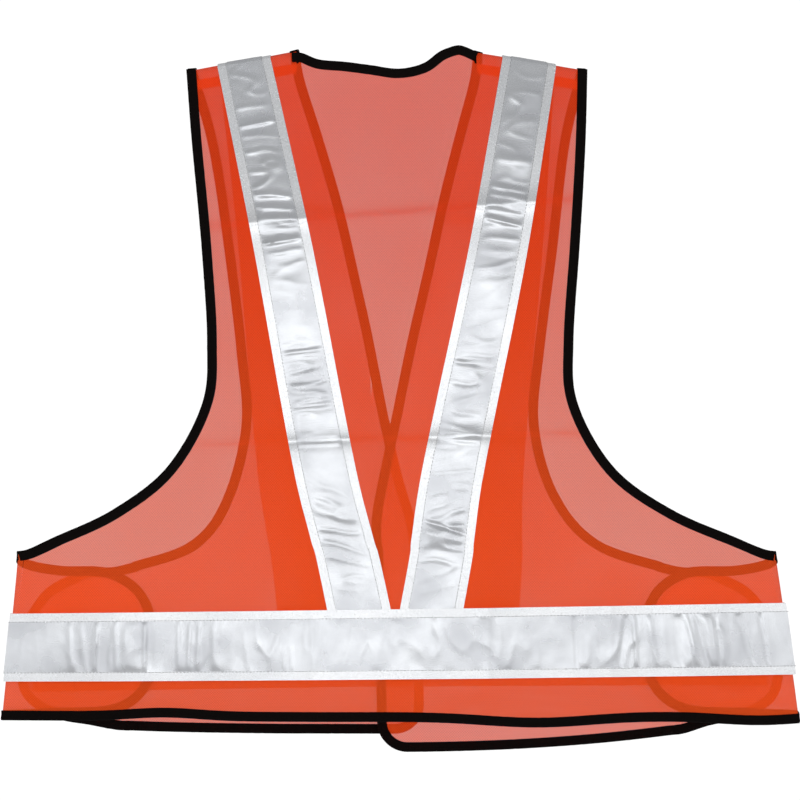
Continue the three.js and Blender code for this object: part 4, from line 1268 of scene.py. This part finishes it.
def pile_tree():
    tree, given, gives = new_tree("pile", {
        "Facing": "Vector", "Density": "Float", "Height": "Float", "Wire": "Float", "Bend": "Float",
        "Seed": "Int", "Material": "Material"})
    normal = add(tree, "GeometryNodeInputNormal")["Normal"]
    facing = tree.nodes.new("ShaderNodeVectorMath")
    facing.operation = "DOT_PRODUCT"
    tree.links.new(normal, facing.inputs[0])
    tree.links.new(given["Facing"], facing.inputs[1])
    outer = add(tree, "FunctionNodeCompare", [("data_type", "FLOAT"), ("operation", "GREATER_THAN")],
                A=facing.outputs["Value"], B=FACING_ENOUGH)["Result"]
    spots = add(tree, "GeometryNodeDistributePointsOnFaces", [("distribute_method", "RANDOM")],
                Mesh=given["Geometry"], Selection=outer, Density=given["Density"], Seed=given["Seed"])
    arc = add(tree, "GeometryNodeCurveArc", [("mode", "RADIUS")], Resolution=6, Radius=given["Height"],
              Start_Angle=0.0, Sweep_Angle=given["Bend"])["Curve"]
    stand = add(tree, "GeometryNodeTransform", Geometry=arc, Rotation=(math.pi / 2, 0.0, 0.0))["Geometry"]
    section = add(tree, "GeometryNodeCurvePrimitiveCircle", Resolution=3, Radius=given["Wire"])["Curve"]
    wire = add(tree, "GeometryNodeCurveToMesh", Curve=stand, Profile_Curve=section, Fill_Caps=True)["Mesh"]
    spin = add(tree, "FunctionNodeRandomValue", [("data_type", "FLOAT")], Min=0.0, Max=2 * math.pi,
               Seed=given["Seed"])["Value"]
    about = add(tree, "FunctionNodeAxisAngleToRotation", Axis=(0.0, 0.0, 1.0), Angle=spin)["Rotation"]
    turned = add(tree, "FunctionNodeRotateRotation", [("rotation_space", "LOCAL")],
                 Rotation=spots["Rotation"], Rotate_By=about)
    placed = add(tree, "GeometryNodeInstanceOnPoints", Points=spots["Points"], Instance=wire,
                 Rotation=turned["Rotation"])
    real = made_real(tree, placed["Instances"], given["Seed"])
    join = tree.nodes.new("GeometryNodeJoinGeometry")
    tree.links.new(real, join.inputs[0])
    tree.links.new(given["Geometry"], join.inputs[0])
    done = add(tree, "GeometryNodeSetMaterial", Geometry=join.outputs[0], Material=given["Material"])
    tree.links.new(done["Geometry"], gives[0])
    return tree

def grown(obj, tree, **values):
    """Runs a tree on an object and returns the result as a plain mesh object."""
    modifier = obj.modifiers.new("grow", "NODES")
    modifier.node_group = tree
    for item in tree.interface.items_tree:
        if item.item_type == "SOCKET" and item.in_out == "INPUT" and item.name.replace(" ", "_") in values:
            modifier[item.identifier] = values[item.name.replace(" ", "_")]
    evaluated = obj.evaluated_get(bpy.context.evaluated_depsgraph_get())
    mesh = bpy.data.meshes.new_from_object(evaluated)
    name = obj.name
    obj.modifiers.remove(modifier)
    bpy.data.objects.remove(obj)
    mesh.name = name
    return in_scene(name, mesh)

PILE_TREE = pile_tree()
PATCH_FOOT, PATCH_THICK = 0.30 * MM, 0.55 * MM

def patch(name, layer, side, x, height, outward, body, node, kind, seed):
    """A patch on a cloth's outer face (outward 1) or inner face (outward -1), behind the waist tape."""
    across = even_steps([[x[0]], [x[1]]], step=GRID)[:, 0]
    middle = FRONT_WAIST + WAIST_RISE * side * across
    flat = np.stack([pairs(side * across, middle + height * t) for t in np.linspace(0.5, -0.5, 12)])
    low, high = sorted((outward * PATCH_FOOT, outward * (PATCH_FOOT + PATCH_THICK)))
    slab = slab_mesh(name, layer, flat, low, high, PILE)
    density, tall, wire, bend = kind
    made = grown(slab, PILE_TREE, Facing=(0.0, float(outward), 0.0), Density=density, Height=tall, Wire=wire,
                 Bend=bend, Seed=seed, Material=PILE)
    print(name, len(made.data.polygons), "faces")
    attach(made, body, [node])

# How many to the square metre, height, wire radius, and how far the wire bends round.
LOOPS = (1.1e6, 0.55 * MM, 0.07 * MM, math.pi)
HOOKS = (0.7e6, 0.50 * MM, 0.10 * MM, 1.35 * math.pi)
for side, word in SIDE_WORDS.items():
    patch(f"loop_patch_{word}", WING, side, (233 * MM, 296 * MM), 44 * MM, 1, f"wing_{word}",
          f"loop_side_{word}", LOOPS, 1 + side)
    patch(f"hook_patch_{word}", FRONTS[side], side, (254 * MM, 296 * MM), 40 * MM, -1, f"tab_{word}",
          f"hook_side_{word}", HOOKS, 4 + side)
patch("loop_patch_front", FRONT, RIGHT, (-8 * MM, 16 * MM), 50 * MM, 1, "front_right", "loop_front", LOOPS, 8)
patch("hook_patch_front", LEFT_FRONT, LEFT, (-8 * MM, 7 * MM), 45 * MM, -1, "front_flap", "hook_front",
      HOOKS, 9)

# %% [markdown]
# ## Stitches
# Grey thread holds the film's edges to the tape. Its grey also stands in for the thin shadow along each
# film edge, so the line of stitches is partly real thread and partly painted shadow. A stitch is a small bead
# pulled long, and Geometry Nodes sets one every few millimetres along each row. The rows are plain lines of
# points laid on the layers, so the stitches bend round the folds with the cloth.

# %% Stitches made with Geometry Nodes
def stitch_tree():
    tree, given, gives = new_tree("stitch_rows", {
        "Pitch": "Float", "Length": "Float", "Thickness": "Float", "Seed": "Int", "Material": "Material"})
    line = add(tree, "GeometryNodeMeshToCurve", Mesh=given["Geometry"])["Curve"]
    spots = add(tree, "GeometryNodeCurveToPoints", [("mode", "LENGTH")], Curve=line, Length=given["Pitch"])
    bead = add(tree, "GeometryNodeMeshUVSphere", Segments=5, Rings=4, Radius=0.5)["Mesh"]
    thick = given["Thickness"]
    size = add(tree, "ShaderNodeCombineXYZ", X=thick, Y=thick, Z=given["Length"])["Vector"]
    placed = add(tree, "GeometryNodeInstanceOnPoints", Points=spots["Points"], Instance=bead,
                 Rotation=spots["Rotation"], Scale=size)
    real = made_real(tree, placed["Instances"], given["Seed"])
    done = add(tree, "GeometryNodeSetMaterial", Geometry=real, Material=given["Material"])
    tree.links.new(done["Geometry"], gives[0])
    return tree

STITCH_TREE = stitch_tree()
STITCH_PITCH, STITCH_LENGTH, THREAD_THICK = 3.0 * MM, 2.5 * MM, 0.55 * MM
STITCH_FACES = 20  # of each bead

def stitch(name, lines, body, seed):
    """One mesh of stitches from several rows of points."""
    points = np.vstack(lines)
    starts = np.cumsum([0] + [len(line) for line in lines])
    edges = [(a, a + 1) for first, last in zip(starts, starts[1:]) for a in range(first, last - 1)]
    mesh = bpy.data.meshes.new(name)
    mesh.from_pydata(hang(points).tolist(), edges, [])
    made = grown(in_scene(name, mesh), STITCH_TREE, Pitch=STITCH_PITCH, Length=STITCH_LENGTH,
                 Thickness=THREAD_THICK, Seed=seed, Material=GREY_THREAD_AND_EDGE_SHADOW)
    print(name, len(made.data.polygons) // STITCH_FACES, "stitches")
    attach(made, body)

for seed, (body, lines) in enumerate(rows.items()):
    laid = [place(layer, line[:, 0], line[:, 1], lift)[0] for layer, line, lift in lines]
    stitch(f"film_stitches_{body}", laid, body, seed)

# %% [markdown]
# ## Last look
# The imported pieces that still show are listed.

# %% List the packed pieces that still show
still = [name for name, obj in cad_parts.items() if not obj.hide_render]
print(len(still), "packed pieces still show", still)
